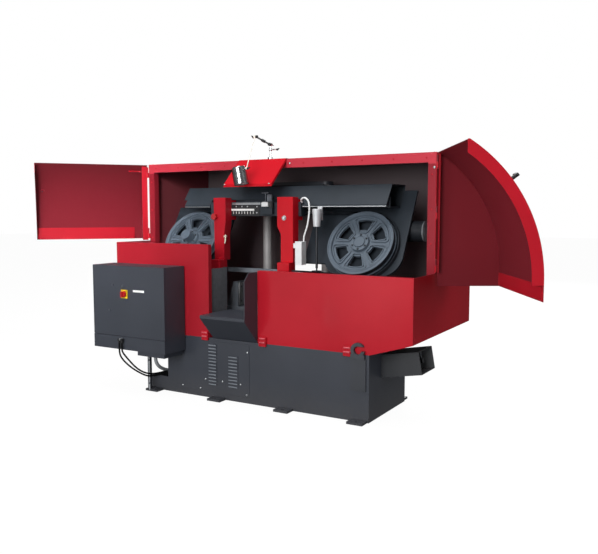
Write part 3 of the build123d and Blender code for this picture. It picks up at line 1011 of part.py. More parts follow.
RIGHT_STEP, LEFT_STEP = (1388, 1326), (1430, 1305)
right_edge = ((RIGHT_ARM[0], ARM_TOP), (RIGHT_ARM[1], ARM_TOP), (RIGHT_FOOT[1], ARM_FOOT),
              (RIGHT_FOOT[0], ARM_FOOT), (RIGHT_FOOT[0], RIGHT_STEP[1]), (RIGHT_ARM[0], RIGHT_STEP[0]))
left_edge = ((LEFT_ARM[0], ARM_TOP), (LEFT_ARM[1], ARM_TOP), (LEFT_ARM[1], LEFT_STEP[0]),
             (LEFT_FOOT[1], LEFT_STEP[1]), (LEFT_FOOT[1], ARM_FOOT), (LEFT_FOOT[0], ARM_FOOT))
right_guide_arm = guide_arm(right_edge, RIGHT_FOOT, RIGHT_STEP[1], False)
save(right_guide_arm, "right_guide_arm")
left_guide_arm = guide_arm(left_edge, LEFT_FOOT, LEFT_STEP[1], True)
save(left_guide_arm, "left_guide_arm")

# Star knob that clamps the left arm
with BuildPart() as arm_clamp_knob:
    rod((CLAMP_X, ARM_FRONT + 38, CLAMP_Z), (CLAMP_X, ARM_FRONT - RUN_GAP, CLAMP_Z), CLAMP_SPINDLE)
    rod((CLAMP_X, ARM_FRONT - RUN_GAP, CLAMP_Z), (CLAMP_X, ARM_FRONT - 12, CLAMP_Z), 14)
    with BuildSketch(front_profile(ARM_FRONT - 12)):
        with Locations((CLAMP_X, CLAMP_Z)):
            Circle(22)
            with PolarLocations(21, 7):
                Circle(7)
    extrude(amount=20)
save(arm_clamp_knob, "arm_clamp_knob")

# Chip brush motor on a bracket under the guard lip, with the wire brush below
BRUSH_X, BRUSH_Y, BRUSH_R = 365, -15, 40
BRUSH_MOTOR_LOW, BRUSH_MOTOR_HIGH, BRUSH_LOW_R, BRUSH_HIGH_R = 1388, 1530, 28, 38
BRUSH_TUBE_R, BRUSH_SPINDLE = 10, 6
BRACKET_HALF, BRACKET_LOW, BRACKET_TIE = 20, 1440, (1460, 1500)
with BuildPart() as brush_motor:
    with Locations((BRUSH_X, BRUSH_Y, BRUSH_MOTOR_LOW)):
        Cone(BRUSH_LOW_R, BRUSH_HIGH_R, BRUSH_MOTOR_HIGH - BRUSH_MOTOR_LOW,
             align=(Align.CENTER, Align.CENTER, Align.MIN))
    fillet(brush_motor.edges().filter_by(GeomType.CIRCLE), 6)
    rod((BRUSH_X, BRUSH_Y, 1060), (BRUSH_X, BRUSH_Y, BRUSH_MOTOR_LOW + 4), BRUSH_TUBE_R)
    bracket_x = (BRUSH_X - BRACKET_HALF, BRUSH_X + BRACKET_HALF)
    block(bracket_x, (LIP_FRONT, LIP_BACK), (BRACKET_LOW, LIP_LOW))
    block(bracket_x, (BRUSH_Y, LIP_BACK), BRACKET_TIE)
    rod((BRUSH_X, BRUSH_Y, 1050), (BRUSH_X, BRUSH_Y, 1112), BRUSH_SPINDLE + FIT, mode=Mode.SUBTRACT)
save(brush_motor, "brush_motor")

with BuildPart() as wire_brush:
    with BuildSketch(Plane.XY.offset(1000)):
        with Locations((BRUSH_X, BRUSH_Y)):
            Circle(BRUSH_R - 5)
            with PolarLocations(BRUSH_R - 5, 30):
                Rectangle(10, 3)
    extrude(amount=40)
    rod((BRUSH_X, BRUSH_Y, 1040), (BRUSH_X, BRUSH_Y, 1110), BRUSH_SPINDLE)
save(wire_brush, "wire_brush")

# Coolant block beside the right arm and the hose that feeds it
COOLANT_X, COOLANT_Y, COOLANT_Z = (206, 268), (-90, -10), (1085, 1272)
with BuildPart() as coolant_block:
    block(COOLANT_X, COOLANT_Y, COOLANT_Z)
    fillet(coolant_block.edges().filter_by(Axis.Z), 8)
    block((RIGHT_ARM[1], COOLANT_X[0] + 4), (-45, -25), (1215, 1255))
save(coolant_block, "coolant_block")

HOSE_ROUTE = (
    tuple(hose_root + hose_way * HOSE_BOSS), tuple(hose_root + hose_way * HOSE_LEAD), (236, -10, 1618),
    (262, -14, 1619), (296, -22, 1590), (303, -24, 1537), (300, -26, 1482), (294, -29, 1430), (284, -32, 1378),
    (266, -35, 1330), (259, -36, 1302), (259, -36, COOLANT_Z[1]))
cable("coolant_hose", HOSE_ROUTE, HOSE_D, "coolant hose")

# Work lamp: foot, two arms and a tapered head, each on a friction joint
LAMP_X, LAMP_Y, LAMP_FOOT_Z, LAMP_JOINT_Z = -141, 103, ROOF_Z + CENTRE_SHEET, 2066
ELBOW = Vector(-274, 86, 2135)
LAMP_PIVOT = Vector(-172, -225, 1852)
PIVOT_R, PIVOT_PIN, HEAD_PIN = 13, 4, 3
with BuildPart() as lamp_base:
    rod((LAMP_X, LAMP_Y, LAMP_FOOT_Z), (LAMP_X, LAMP_Y, LAMP_FOOT_Z + 14), 24)
    rod((LAMP_X, LAMP_Y, LAMP_FOOT_Z), (LAMP_X, LAMP_Y, LAMP_JOINT_Z), 8)
    rod((LAMP_X, LAMP_Y - 8, LAMP_JOINT_Z), (LAMP_X, LAMP_Y + 12, LAMP_JOINT_Z), PIVOT_R)
    rod((LAMP_X, LAMP_Y - 24, LAMP_JOINT_Z), (LAMP_X, LAMP_Y, LAMP_JOINT_Z), PIVOT_PIN)
save(lamp_base, "lamp_base")

with BuildPart() as lamp_arm_lower:
    root = Vector(LAMP_X, ELBOW.Y, LAMP_JOINT_Z)
    rod(root - Vector(0, 8.6, 0), root + Vector(0, 8.6, 0), PIVOT_R)
    reach = (ELBOW - root).normalized()
    rod(root, ELBOW - reach * 5, 7)
    middle = root + (ELBOW - root) * 0.45
    rod(middle - reach * 16, middle + reach * 16, 12)
    rod(ELBOW - Vector(2, 0, 0), ELBOW + Vector(14, 0, 0), 12)
    rod(ELBOW - Vector(20, 0, 0), ELBOW, PIVOT_PIN)
    rod(root - Vector(0, 10, 0), root + Vector(0, 10, 0), PIVOT_PIN + FIT, mode=Mode.SUBTRACT)
save(lamp_arm_lower, "lamp_arm_lower")

with BuildPart() as lamp_arm_upper:
    grip = ELBOW - Vector(11.4, 0, 0)
    rod(grip - Vector(9, 0, 0), grip + Vector(9, 0, 0), 12)
    tip = LAMP_PIVOT + Vector(11.4, 0, 0)
    rod(grip, tip, 4)
    rod(tip - Vector(7, 0, 0), tip + Vector(7, 0, 0), 9)
    rod(tip, tip - Vector(22, 0, 0), HEAD_PIN)
    rod(grip - Vector(10, 0, 0), grip + Vector(10, 0, 0), PIVOT_PIN + FIT, mode=Mode.SUBTRACT)
save(lamp_arm_upper, "lamp_arm_upper")

LAMP_HEAD_R, LAMP_HEAD_LENGTH, LAMP_LEAN = 62, 140, 12
LAMP_CAP_R, LAMP_SHADE, LAMP_DROP = 57, 3, 26
with BuildPart() as lamp_head:
    lean = math.radians(LAMP_LEAN)
    up = Vector(-math.sin(lean), 0, math.cos(lean))
    across = Vector(math.cos(lean), 0, math.sin(lean))
    crown = LAMP_PIVOT - across * LAMP_HEAD_R + up * LAMP_DROP
    with BuildSketch(Plane(origin=crown, x_dir=across, z_dir=across.cross(up))):
        outline(((0, 0), (LAMP_CAP_R - 7, 0), (LAMP_CAP_R, -8), (LAMP_HEAD_R, -LAMP_HEAD_LENGTH),
                 (LAMP_HEAD_R - LAMP_SHADE, -LAMP_HEAD_LENGTH), (LAMP_CAP_R - LAMP_SHADE, -12), (0, -12)))
    revolve(axis=Axis(crown, up))
    rod(LAMP_PIVOT - Vector(12, 0, 0), LAMP_PIVOT + Vector(3.6, 0, 0), 9)
    rod(LAMP_PIVOT - Vector(13, 0, 0), LAMP_PIVOT + Vector(4, 0, 0), HEAD_PIN + FIT, mode=Mode.SUBTRACT)
save(lamp_head, "lamp_head")
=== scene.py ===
"""Looks of a double column band saw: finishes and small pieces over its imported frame.

The frame is in metres, +Z up, with -Y at the front and +X on the drive side. Finishes, lights and the
camera use it. The trim classes give sizes and places in millimetres from the machine's own datum.
"""
import logging
import math
from dataclasses import dataclass, replace
from enum import Enum
from typing import Callable, Iterable, Optional, Sequence

import bmesh
import bpy
from mathutils import Matrix, Vector


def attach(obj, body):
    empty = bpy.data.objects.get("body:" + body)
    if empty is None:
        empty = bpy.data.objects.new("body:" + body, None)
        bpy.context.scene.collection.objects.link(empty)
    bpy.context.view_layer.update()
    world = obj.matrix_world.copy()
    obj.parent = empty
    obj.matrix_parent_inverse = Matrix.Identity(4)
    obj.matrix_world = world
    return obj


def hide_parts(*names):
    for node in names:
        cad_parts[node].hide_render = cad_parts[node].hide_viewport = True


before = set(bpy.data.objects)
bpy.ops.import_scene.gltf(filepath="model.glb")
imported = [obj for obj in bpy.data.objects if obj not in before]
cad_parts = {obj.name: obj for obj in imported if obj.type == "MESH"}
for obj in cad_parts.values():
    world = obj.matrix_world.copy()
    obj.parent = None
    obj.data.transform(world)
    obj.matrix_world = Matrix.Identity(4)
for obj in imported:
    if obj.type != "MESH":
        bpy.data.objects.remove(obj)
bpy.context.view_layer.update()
LOG = logging.getLogger("band_saw")
Point = Sequence[float]
FaceTest = Callable[[Vector, Vector], bool]
MM = 0.001
# Datum of the trim's places, seen from the frame's origin on the floor
DATUM = Vector((0.054, 0.0, 0.022))
FRONT, REAR, UP, DOWN = (0.0, -1.0, 0.0), (0.0, 1.0, 0.0), (0.0, 0.0, 1.0), (0.0, 0.0, -1.0)
LEFT, RIGHT = (-1.0, 0.0, 0.0), (1.0, 0.0, 0.0)


def mm(*values: float) -> tuple[float, ...]:
    """Millimetres to metres."""
    return tuple(v * MM for v in values)


def linear(code: str) -> tuple[float, float, float, float]:
    """Turns an sRGB hex colour into linear RGBA.

    Args:
        code: six hex digits.

    Returns:
        The colour as four linear values.
    """
    values = [int(code[i:i + 2], 16) / 255 for i in (0, 2, 4)]
    red, green, blue = (v / 12.92 if v <= 0.04045 else ((v + 0.055) / 1.055) ** 2.4 for v in values)
    return red, green, blue, 1.0


def add_node(tree: bpy.types.NodeTree, kind: str, inputs: Optional[dict] = None,
             **settings: object) -> bpy.types.Node:
    """Adds a shader node, sets it up and links what is given as a socket.

    Args:
        tree: the node tree.
        kind: the node's type name without its ShaderNode prefix.
        inputs: input name or index to a value, or to an output socket to link.
        settings: attributes of the node.

    Returns:
        The new node.
    """
    made = tree.nodes.new("ShaderNode" + kind)
    for name, value in settings.items():
        setattr(made, name, value)
    for key, value in (inputs or {}).items():
        if isinstance(value, bpy.types.NodeSocket):
            tree.links.new(value, made.inputs[key])
        else:
            made.inputs[key].default_value = value
    return made


# Colour sockets of a Mix node, which share their names with its other kinds
MIX_FIRST, MIX_SECOND, MIX_RESULT = 6, 7, 2
WHITE = "FFFFFF"
# Ends of the blend between a finish's two colours, and how uneven its patches, grain and dust are
PATCH_RAMP = (0.35, 0.70)
PATCH_DETAIL, GRAIN_DETAIL, DUST_DETAIL = 4.0, 3.0, 6.0
BUMP_STRENGTH = 0.6
DUST_GRIT_MM = 35.0
DUST_AT_FLOOR = 0.5


@dataclass(frozen=True)
class Finish:
    """A surface: two close colours in broad patches, a fine grain for gloss and bump, and settled dust.

    Patch and grain are sizes in millimetres. Grain too fine to show in a render, as on nylon or zinc,
    is drawn as coarse as it needs to show. A shell that is darker inside gives its inner colour and a point
    within it, and a piece in two colours gives the lower one and the height of the change, in metres.
    """

    name: str
    slot: str
    colour: str
    shade: str
    patch_mm: float = 260.0
    grain_mm: float = 2.2
    bump_mm: float = 0.05
    rough_low: float = 0.30
    rough_high: float = 0.42
    metallic: float = 0.0
    coat: float = 0.0
    specular: float = 0.5
    glow: float = 0.0
    dust: str = ""
    dust_height: float = 0.0
    stretch: tuple[float, float, float] = (1.0, 1.0, 1.0)
    inner: str = ""
    within: tuple[float, float, float] = (0.0, 0.0, 0.0)
    lower: str = ""
    change: float = 0.0

    def build(self) -> bpy.types.Material:
        """Makes the material at its first use.

        Returns:
            The material.
        """
        found = bpy.data.materials.get(self.name)
        if found is not None:
            return found
        material = bpy.data.materials.new(self.name)
        material.use_nodes = True
        tree = material.node_tree
        shader = tree.nodes["Principled BSDF"]
        shader.inputs["Metallic"].default_value = self.metallic
        shader.inputs["Coat Weight"].default_value = self.coat
        shader.inputs["Specular IOR Level"].default_value = self.specular
        if self.glow:
            shader.inputs["Emission Color"].default_value = linear(WHITE)
            shader.inputs["Emission Strength"].default_value = self.glow
        place = add_node(tree, "TexCoord").outputs["Object"]
        tree.links.new(self.paint(tree, place), shader.inputs["Base Color"])
        along = add_node(tree, "Mapping", {"Vector": place, "Scale": self.stretch}).outputs["Vector"]
        grain = add_node(tree, "TexNoise", {"Vector": along, "Detail": GRAIN_DETAIL,
                                            "Scale": 1.0 / (self.grain_mm * MM)}).outputs["Fac"]
        rough = add_node(tree, "MapRange", {"Value": grain, "To Min": self.rough_low,
                                            "To Max": self.rough_high})
        tree.links.new(rough.outputs["Result"], shader.inputs["Roughness"])
        bump = add_node(tree, "Bump", {"Height": grain, "Strength": BUMP_STRENGTH,
                                       "Distance": self.bump_mm * MM})
        tree.links.new(bump.outputs["Normal"], shader.inputs["Normal"])
        return material

    def paint(self, tree: bpy.types.NodeTree, place: bpy.types.NodeSocket) -> bpy.types.NodeSocket:
        """Base colour: patches of the two colours, then the inner colour, the lower one and dust over them.

        Args:
            tree: the material's node tree.
            place: Object coordinates.

        Returns:
            The colour socket.
        """
        patch = add_node(tree, "TexNoise", {"Vector": place, "Scale": 1.0 / (self.patch_mm * MM),
                                            "Detail": PATCH_DETAIL})
        blend = add_node(tree, "ValToRGB", {"Fac": patch.outputs["Fac"]})
        for element, end, code in zip(blend.color_ramp.elements, PATCH_RAMP, (self.colour, self.shade)):
            element.position = end
            element.color = linear(code)
        colour = blend.outputs["Color"]
        layers = []
        if self.inner:
            normal = add_node(tree, "TexCoord").outputs["Normal"]
            inward = add_node(tree, "VectorMath", {0: self.within, 1: place}, operation="SUBTRACT")
            toward = add_node(tree, "VectorMath", {0: normal, 1: inward.outputs["Vector"]},
                              operation="DOT_PRODUCT")
            inside = add_node(tree, "Math", {0: toward.outputs["Value"], 1: 0.0}, operation="GREATER_THAN")
            layers.append((inside, self.inner))
        if self.lower or self.dust:
            height = add_node(tree, "SeparateXYZ", {"Vector": place}).outputs["Z"]
        if self.lower:
            under = add_node(tree, "Math", {0: height, 1: self.change}, operation="LESS_THAN")
            layers.append((under, self.lower))
        if self.dust:
            low = add_node(tree, "MapRange", {"Value": height, "From Max": self.dust_height,
                                              "To Min": DUST_AT_FLOOR, "To Max": 0.0})
            speck = add_node(tree, "TexNoise", {"Vector": place, "Scale": 1.0 / (DUST_GRIT_MM * MM),
                                                "Detail": DUST_DETAIL})
            settled = add_node(tree, "Math", {0: low.outputs["Result"], 1: speck.outputs["Fac"]},
                               operation="MULTIPLY")
            layers.append((settled, self.dust))
        for share, code in layers:
            over = add_node(tree, "Mix", {"Factor": share.outputs[0], MIX_FIRST: colour,
                                          MIX_SECOND: linear(code)}, data_type="RGBA")
            colour = over.outputs[MIX_RESULT]
        return colour


# Gloss polyester powder coat over folded sheet: a fine orange peel softens its reflections
RED_COAT = Finish("red_powder_coat", "red_sheet", "B61C2A", "AC1926", 420, 3.0, 0.04, 0.26, 0.36, coat=0.02,
                  specular=0.12)
# The same coat on the enclosure's roof and back: duller outside, and a grey on the faces turned inward for
# painted shade inside the enclosure
SHELL_COAT = replace(RED_COAT, name="red_coat_shell_painted_shade_inside", rough_low=0.54, rough_high=0.64, inner="766A6D",
                     within=(0.0, 0.4, 1.4))
# On the end sheets: a dark red on the faces turned inward, for painted shade inside the enclosure
END_COAT = replace(SHELL_COAT, name="red_coat_end_sheet_painted_shade_inside", specular=0.08, inner="843D44")
# On the door frame: a paler, pinker red for a painted sheen on its rail, a darker red below 1.88 m for
# painted shade on its posts, and a darker red on faces turned inward for painted shade
FRAME_COAT = replace(RED_COAT, name="red_coat_door_frame_painted_sheen_and_shade", colour="C53A48", shade="BE3644", lower="91212D",
                     change=1.88, inner="943241", within=(0.0, 0.3, 1.3))
# On the left front panel: a touch darker, a painted shadow of the cabinet and the left hood
SHADOWED_LEFT_PANEL_COAT = replace(RED_COAT, name="red_coat_left_panel_painted_shadow", colour="A5202C", shade="9C1D28")
# On the hood doors: bright outside, and a darker red on the faces turned inward for painted shade inside
# each door
RIGHT_HOOD_COAT = replace(RED_COAT, name="red_coat_right_hood_painted_shade_inside", inner="74222A", within=(1.55, -0.2, 1.7))
LEFT_HOOD_COAT = replace(RED_COAT, name="red_coat_left_hood_painted_shade_inside", inner="80262F", within=(-1.974, 0.108, 0.0))
# On the centre hood and the right arm: a brighter red, painted light for the direct light that falls on
# them
LIT_CENTRE_COAT = replace(RED_COAT, name="red_coat_centre_painted_light", colour="C51221", shade="BE1120")
# A pale pinkish red on the lugs' small ribs: a painted highlight
RIB_HIGHLIGHT_COAT = Finish("red_coat_rib_painted_highlight", "red_sheet", "D2606A", "C44C57", 30, 1.5, 0.04, 0.3, 0.42)
# Two-pack machine enamel, dark blue-grey, sprayed with a slight texture and dusty near the floor
GREY_ENAMEL = Finish("grey_machine_enamel", "grey_paint", "353942", "30343D", 350, 2.4, 0.06, 0.40, 0.55,
                     dust="504C48", dust_height=0.22)
# The same enamel on the lifting hooks, more neutral and a little glossier
PLATE_ENAMEL = Finish("grey_plate_enamel", "grey_paint", "34373E", "303339", 150, 2.4, 0.06, 0.38, 0.5)
# A light grey on the louvres' lips: a painted highlight where they catch the light
LOUVRE_LIP_HIGHLIGHT = Finish("louvre_lip_painted_highlight", "grey_paint", "7A8088", "6A7078", 60, 1.5, 0.04, 0.4, 0.55)
# Enamel of the chute, scoured pale inside by chips
CHUTE_ENAMEL = Finish("chute_enamel", "grey_paint", "2E3034", "292B2F", 200, 2.4, 0.06, 0.4, 0.55,
                      inner="55575A", within=(1.18, 0.01, 0.41))
# Enamel of the saw head: bluer, and flat from coolant
HEAD_ENAMEL = Finish("blue_grey_head_enamel", "grey_paint", "2D343C", "282F36", 200, 2.4, 0.06, 0.5, 0.62,
                     specular=0.3)
# Dark paint in the drain pan, on which chips and coolant show less
DARK_LINING = Finish("dark_lining_paint", "red_sheet", "5A5053", "4C4346", 300, 2.2, 0.05, 0.5, 0.7)
# Sand-cast iron under grey-blue enamel: a coarse skin, rounder highlights
CAST_ENAMEL = Finish("enamelled_cast_iron", "wheel_iron", "5B6773", "505C68", 120, 3.5, 0.16, 0.38, 0.55)
# Castings under near-black enamel, which hold little light
DARK_CASTING = Finish("dark_casting_enamel", "cast_iron", "22252A", "1D2025", 120, 3.5, 0.15, 0.42, 0.6,
                      specular=0.2)
# Ground and blackened iron of the vise, rubbed lighter by the work
VISE_IRON = Finish("blackened_vise_iron", "cast_iron", "50555B", "474C52", 90, 3.0, 0.10, 0.42, 0.58)
# A pale grey sheet, dull and faintly spangled: painted light, lighter than enamel so that the plate shows
# lit in the shaded window
LIT_SPLASH_GREY = Finish("splash_grey_painted_light", "grey_paint", "686B70", "5C5F64", 25, 1.5, 0.02, 0.45, 0.6)
# Hard chrome on the columns, dulled by an oil film to an even grey
COLUMN_CHROME = Finish("oiled_column_chrome", "bright_steel", "C9C6C6", "BDBABA", 90, 1.2, 0.01, 0.5, 0.62,
                       metallic=0.2)
# Ground steel: fine level lines left by the grinding wheel
GROUND_STEEL = Finish("ground_steel", "bright_steel", "A9ABAD", "97999B", 90, 1.2, 0.01, 0.30, 0.45,
                      metallic=1.0, stretch=(1.0, 1.0, 6.0))
# Hardened and blued band steel, drawn out along its run
BAND_STEEL = Finish("blued_band_steel", "bright_steel", "6F757C", "60666D", 60, 1.0, 0.01, 0.28, 0.42,
                    metallic=1.0, stretch=(0.2, 1.0, 1.0))
# Steel left dark by oil and chips
OILED_STEEL = Finish("oiled_steel", "bright_steel", "4B4E52", "3C3F43", 60, 1.2, 0.02, 0.35, 0.5,
                     metallic=1.0)
# Plated and polished: nearly a mirror
BRIGHT_CHROME = Finish("bright_chrome", "chrome", "D9DBDD", "CDD0D3", 40, 1.0, 0.004, 0.08, 0.16,
                       metallic=1.0)
# Lamp shade spun on a lathe: faint rings round it
SPUN_ALUMINIUM = Finish("spun_aluminium", "aluminium", "9EA1A4", "8A8D90", 40, 0.8, 0.012, 0.16, 0.26,
                        metallic=1.0, stretch=(1.0, 1.0, 8.0))
# Bead-blasted motor shell, pale and even, over a dark spindle tube
MOTOR_SHELL = Finish("blasted_aluminium", "aluminium", "D9DCDF", "CCCFD2", 40, 0.8, 0.03, 0.4, 0.5,
                     metallic=0.3, lower="2E3237", change=1.411)
# Lacquered tube of the lamp's upper arm: warm white, with a clean highlight
IVORY_LACQUER = Finish("ivory_lacquered_tube", "chrome", "F4F0E6", "ECE7DB", 60, 1.0, 0.01, 0.2, 0.3)
# Turned bearing bronze, browned by oil
BRONZE = Finish("bearing_bronze", "bronze", "9A7440", "8A6636", 40, metallic=1.0)
# Glass-filled nylon, moulded against a spark-eroded tool: a fine matt skin
BLACK_NYLON = Finish("black_nylon", "black_plastic", "17181A", "1E1F22", 60, 0.9, 0.04, 0.42, 0.58)
# Extruded cable rubber: deep black with hardly any shine
BLACK_RUBBER = Finish("black_cable_rubber", "rubber", "0B0C0D", "111213", 80, 1.2, 0.03, 0.6, 0.75,
                      specular=0.1)
# Machined acetal: clean white, with a waxy sheen
WHITE_ACETAL = Finish("white_acetal", "white_plastic", "EEF0F1", "E4E7E8", 60, 1.0, 0.02, 0.3, 0.42)
# Soft tube, yellowed by coolant
CREAM_PVC = Finish("cream_pvc", "white_plastic", "D8D0BE", "CBC2AE", 40, 1.0, 0.02, 0.35, 0.48)
# Extruded or moulded grey PVC, matt
GREY_PVC = Finish("grey_pvc_conduit", "grey_plastic", "A9ADB1", "989CA1", 50, 1.2, 0.05, 0.4, 0.55)
# Moulded ABS of the switch and the clamp knob: an even red with a satin skin
RED_ABS = Finish("red_abs", "red_plastic", "B51B20", "A5161B", 40, 0.9, 0.02)
# The same plastic behind the switch, in a warning yellow
YELLOW_ABS = Finish("yellow_abs", "white_plastic", "D9B61F", "CDAA18", 40, 0.9, 0.02)
# Zinc plate over pressed steel: pale, faintly mottled
ZINC_SCREW = Finish("zinc_plated_steel", "bright_steel", "C3C6C9", "AFB2B6", 12, 0.6, 0.01, 0.25, 0.4,
                    metallic=0.9)
# Zinc gone grey with age
DULL_ZINC = Finish("dull_zinc", "bright_steel", "5C6067", "52565D", 12, 0.6, 0.01, 0.4, 0.55, metallic=0.4)
# Black oxide on hardened screws: dark, still metallic
BLACK_SCREW = Finish("black_oxide_steel", "bright_steel", "2A2C2E", "222426", 12, 0.6, 0.01, 0.3, 0.45,
                     metallic=0.8)
# Lacquered sheet of the scale and the blank plate: flat white
PLATE_WHITE = Finish("white_lacquered_plate", "white_plastic", "F4F4F2", "EBEBE9", 30, 0.8, 0.01)
# Sand-blasted glass of the lamp: milky
LAMP_LENS = Finish("frosted_lamp_lens", "white_plastic", "E6E9EC", "D5D9DD", 20, 0.8, 0.03)
# Backlit studio floor: its own even glow, and little of the lamps' light, keeps it white without glare
PALE_FLOOR = Finish("pale_floor", "white_plastic", "3A3A3A", "383838", 2000, 20, 0.0, 0.8, 0.9,
                    specular=0.1, glow=0.96)

# CAD nodes by their finish; the four cords' nodes are replaced by curves
NODE_FINISHES = {
    SHADOWED_LEFT_PANEL_COAT: ("front_panel_left",),
    RED_COAT: ("front_panel_right", "left_guide_arm", "hood_hinges"),
    FRAME_COAT: ("door_frame",),
    LIT_CENTRE_COAT: ("centre_hood", "right_guide_arm"),
    SHELL_COAT: ("rear_panel", "roof_panel"),
    END_COAT: ("end_panel_left", "end_panel_right"),
    RIGHT_HOOD_COAT: ("right_hood",),
    LEFT_HOOD_COAT: ("left_hood",),
    DARK_LINING: ("drain_pan",),
    GREY_ENAMEL: ("base_frame", "louvre_panel", "cabinet_body", "cabinet_door", "outfeed_table",
                  "hydraulic_unit", "column_tie"),
    PLATE_ENAMEL: ("lifting_hooks",),
    CHUTE_ENAMEL: ("chip_chute",),
    HEAD_ENAMEL: ("saw_frame", "guide_rail"),
    CAST_ENAMEL: ("drive_wheel", "idler_wheel", "tension_slide", "drive_shaft"),
    DARK_CASTING: ("head_carriage", "gearbox", "drive_motor"),
    VISE_IRON: ("vise_bed", "fixed_jaw", "movable_jaw"),
    COLUMN_CHROME: ("guide_columns",),
    GROUND_STEEL: ("vise_cylinder",),
    OILED_STEEL: ("lift_cylinder", "lift_rod", "chip_auger", "wire_brush"),
    BAND_STEEL: ("saw_blade",),
    BRIGHT_CHROME: ("lamp_base",),
    IVORY_LACQUER: ("lamp_arm_upper",),
    SPUN_ALUMINIUM: ("lamp_head",),
    MOTOR_SHELL: ("brush_motor",),
    BRONZE: ("carriage_bushes",),
    BLACK_NYLON: ("scale_plate", "left_latch_handle", "right_latch_handle", "cable_glands",
                  "lamp_arm_lower"),
    GREY_PVC: ("switchgear_plate",),
    WHITE_ACETAL: ("coolant_block",),
    RED_ABS: ("main_switch_knob", "arm_clamp_knob"),
}


def dress(obj: bpy.types.Object, finish: Finish) -> None:
    """Gives an object one finish in all its slots."""
    obj.data.materials.clear()
    obj.data.materials.append(finish.build())


def facing(way: Point, least: float = 0.9) -> FaceTest:
    """Test for faces that look along a direction."""
    return lambda centre, normal: normal.dot(Vector(way)) > least


def shift(x: float, y: float, z: float) -> Matrix:
    """Place moved by millimetres."""
    return Matrix.Translation(mm(x, y, z))


def seat(point: Point, normal: Point, roll_deg: float = 0.0) -> Matrix:
    """Place on a surface.

    Args:
        point: the spot, in millimetres.
        normal: the way out of the surface.
        roll_deg: turn about the normal.

    Returns:
        A matrix whose Z is the normal.
    """
    turn = Vector(normal).to_track_quat("Z", "Y").to_matrix().to_4x4()
    return shift(*point) @ turn @ Matrix.Rotation(math.radians(roll_deg), 4, "Z")


@dataclass(frozen=True)
class Row:
    """Evenly spaced places between two points, ends included, in millimetres."""

    start: tuple[float, float, float]
    end: tuple[float, float, float]
    count: int

    def seats(self, normal: Point) -> list[Matrix]:
        """Seats along the row on a surface with this normal."""
        first, last = Vector(self.start), Vector(self.end)
        return [seat(first.lerp(last, i / (self.count - 1)), normal) for i in range(self.count)]


@dataclass(frozen=True)
class Window:
    """A frame round one window of a band wheel; the sweep is in degrees, the rest in millimetres."""

    inner: float
    outer: float
    sweep_deg: float
    bar: float
    thickness: float
    corner: float = 20.0


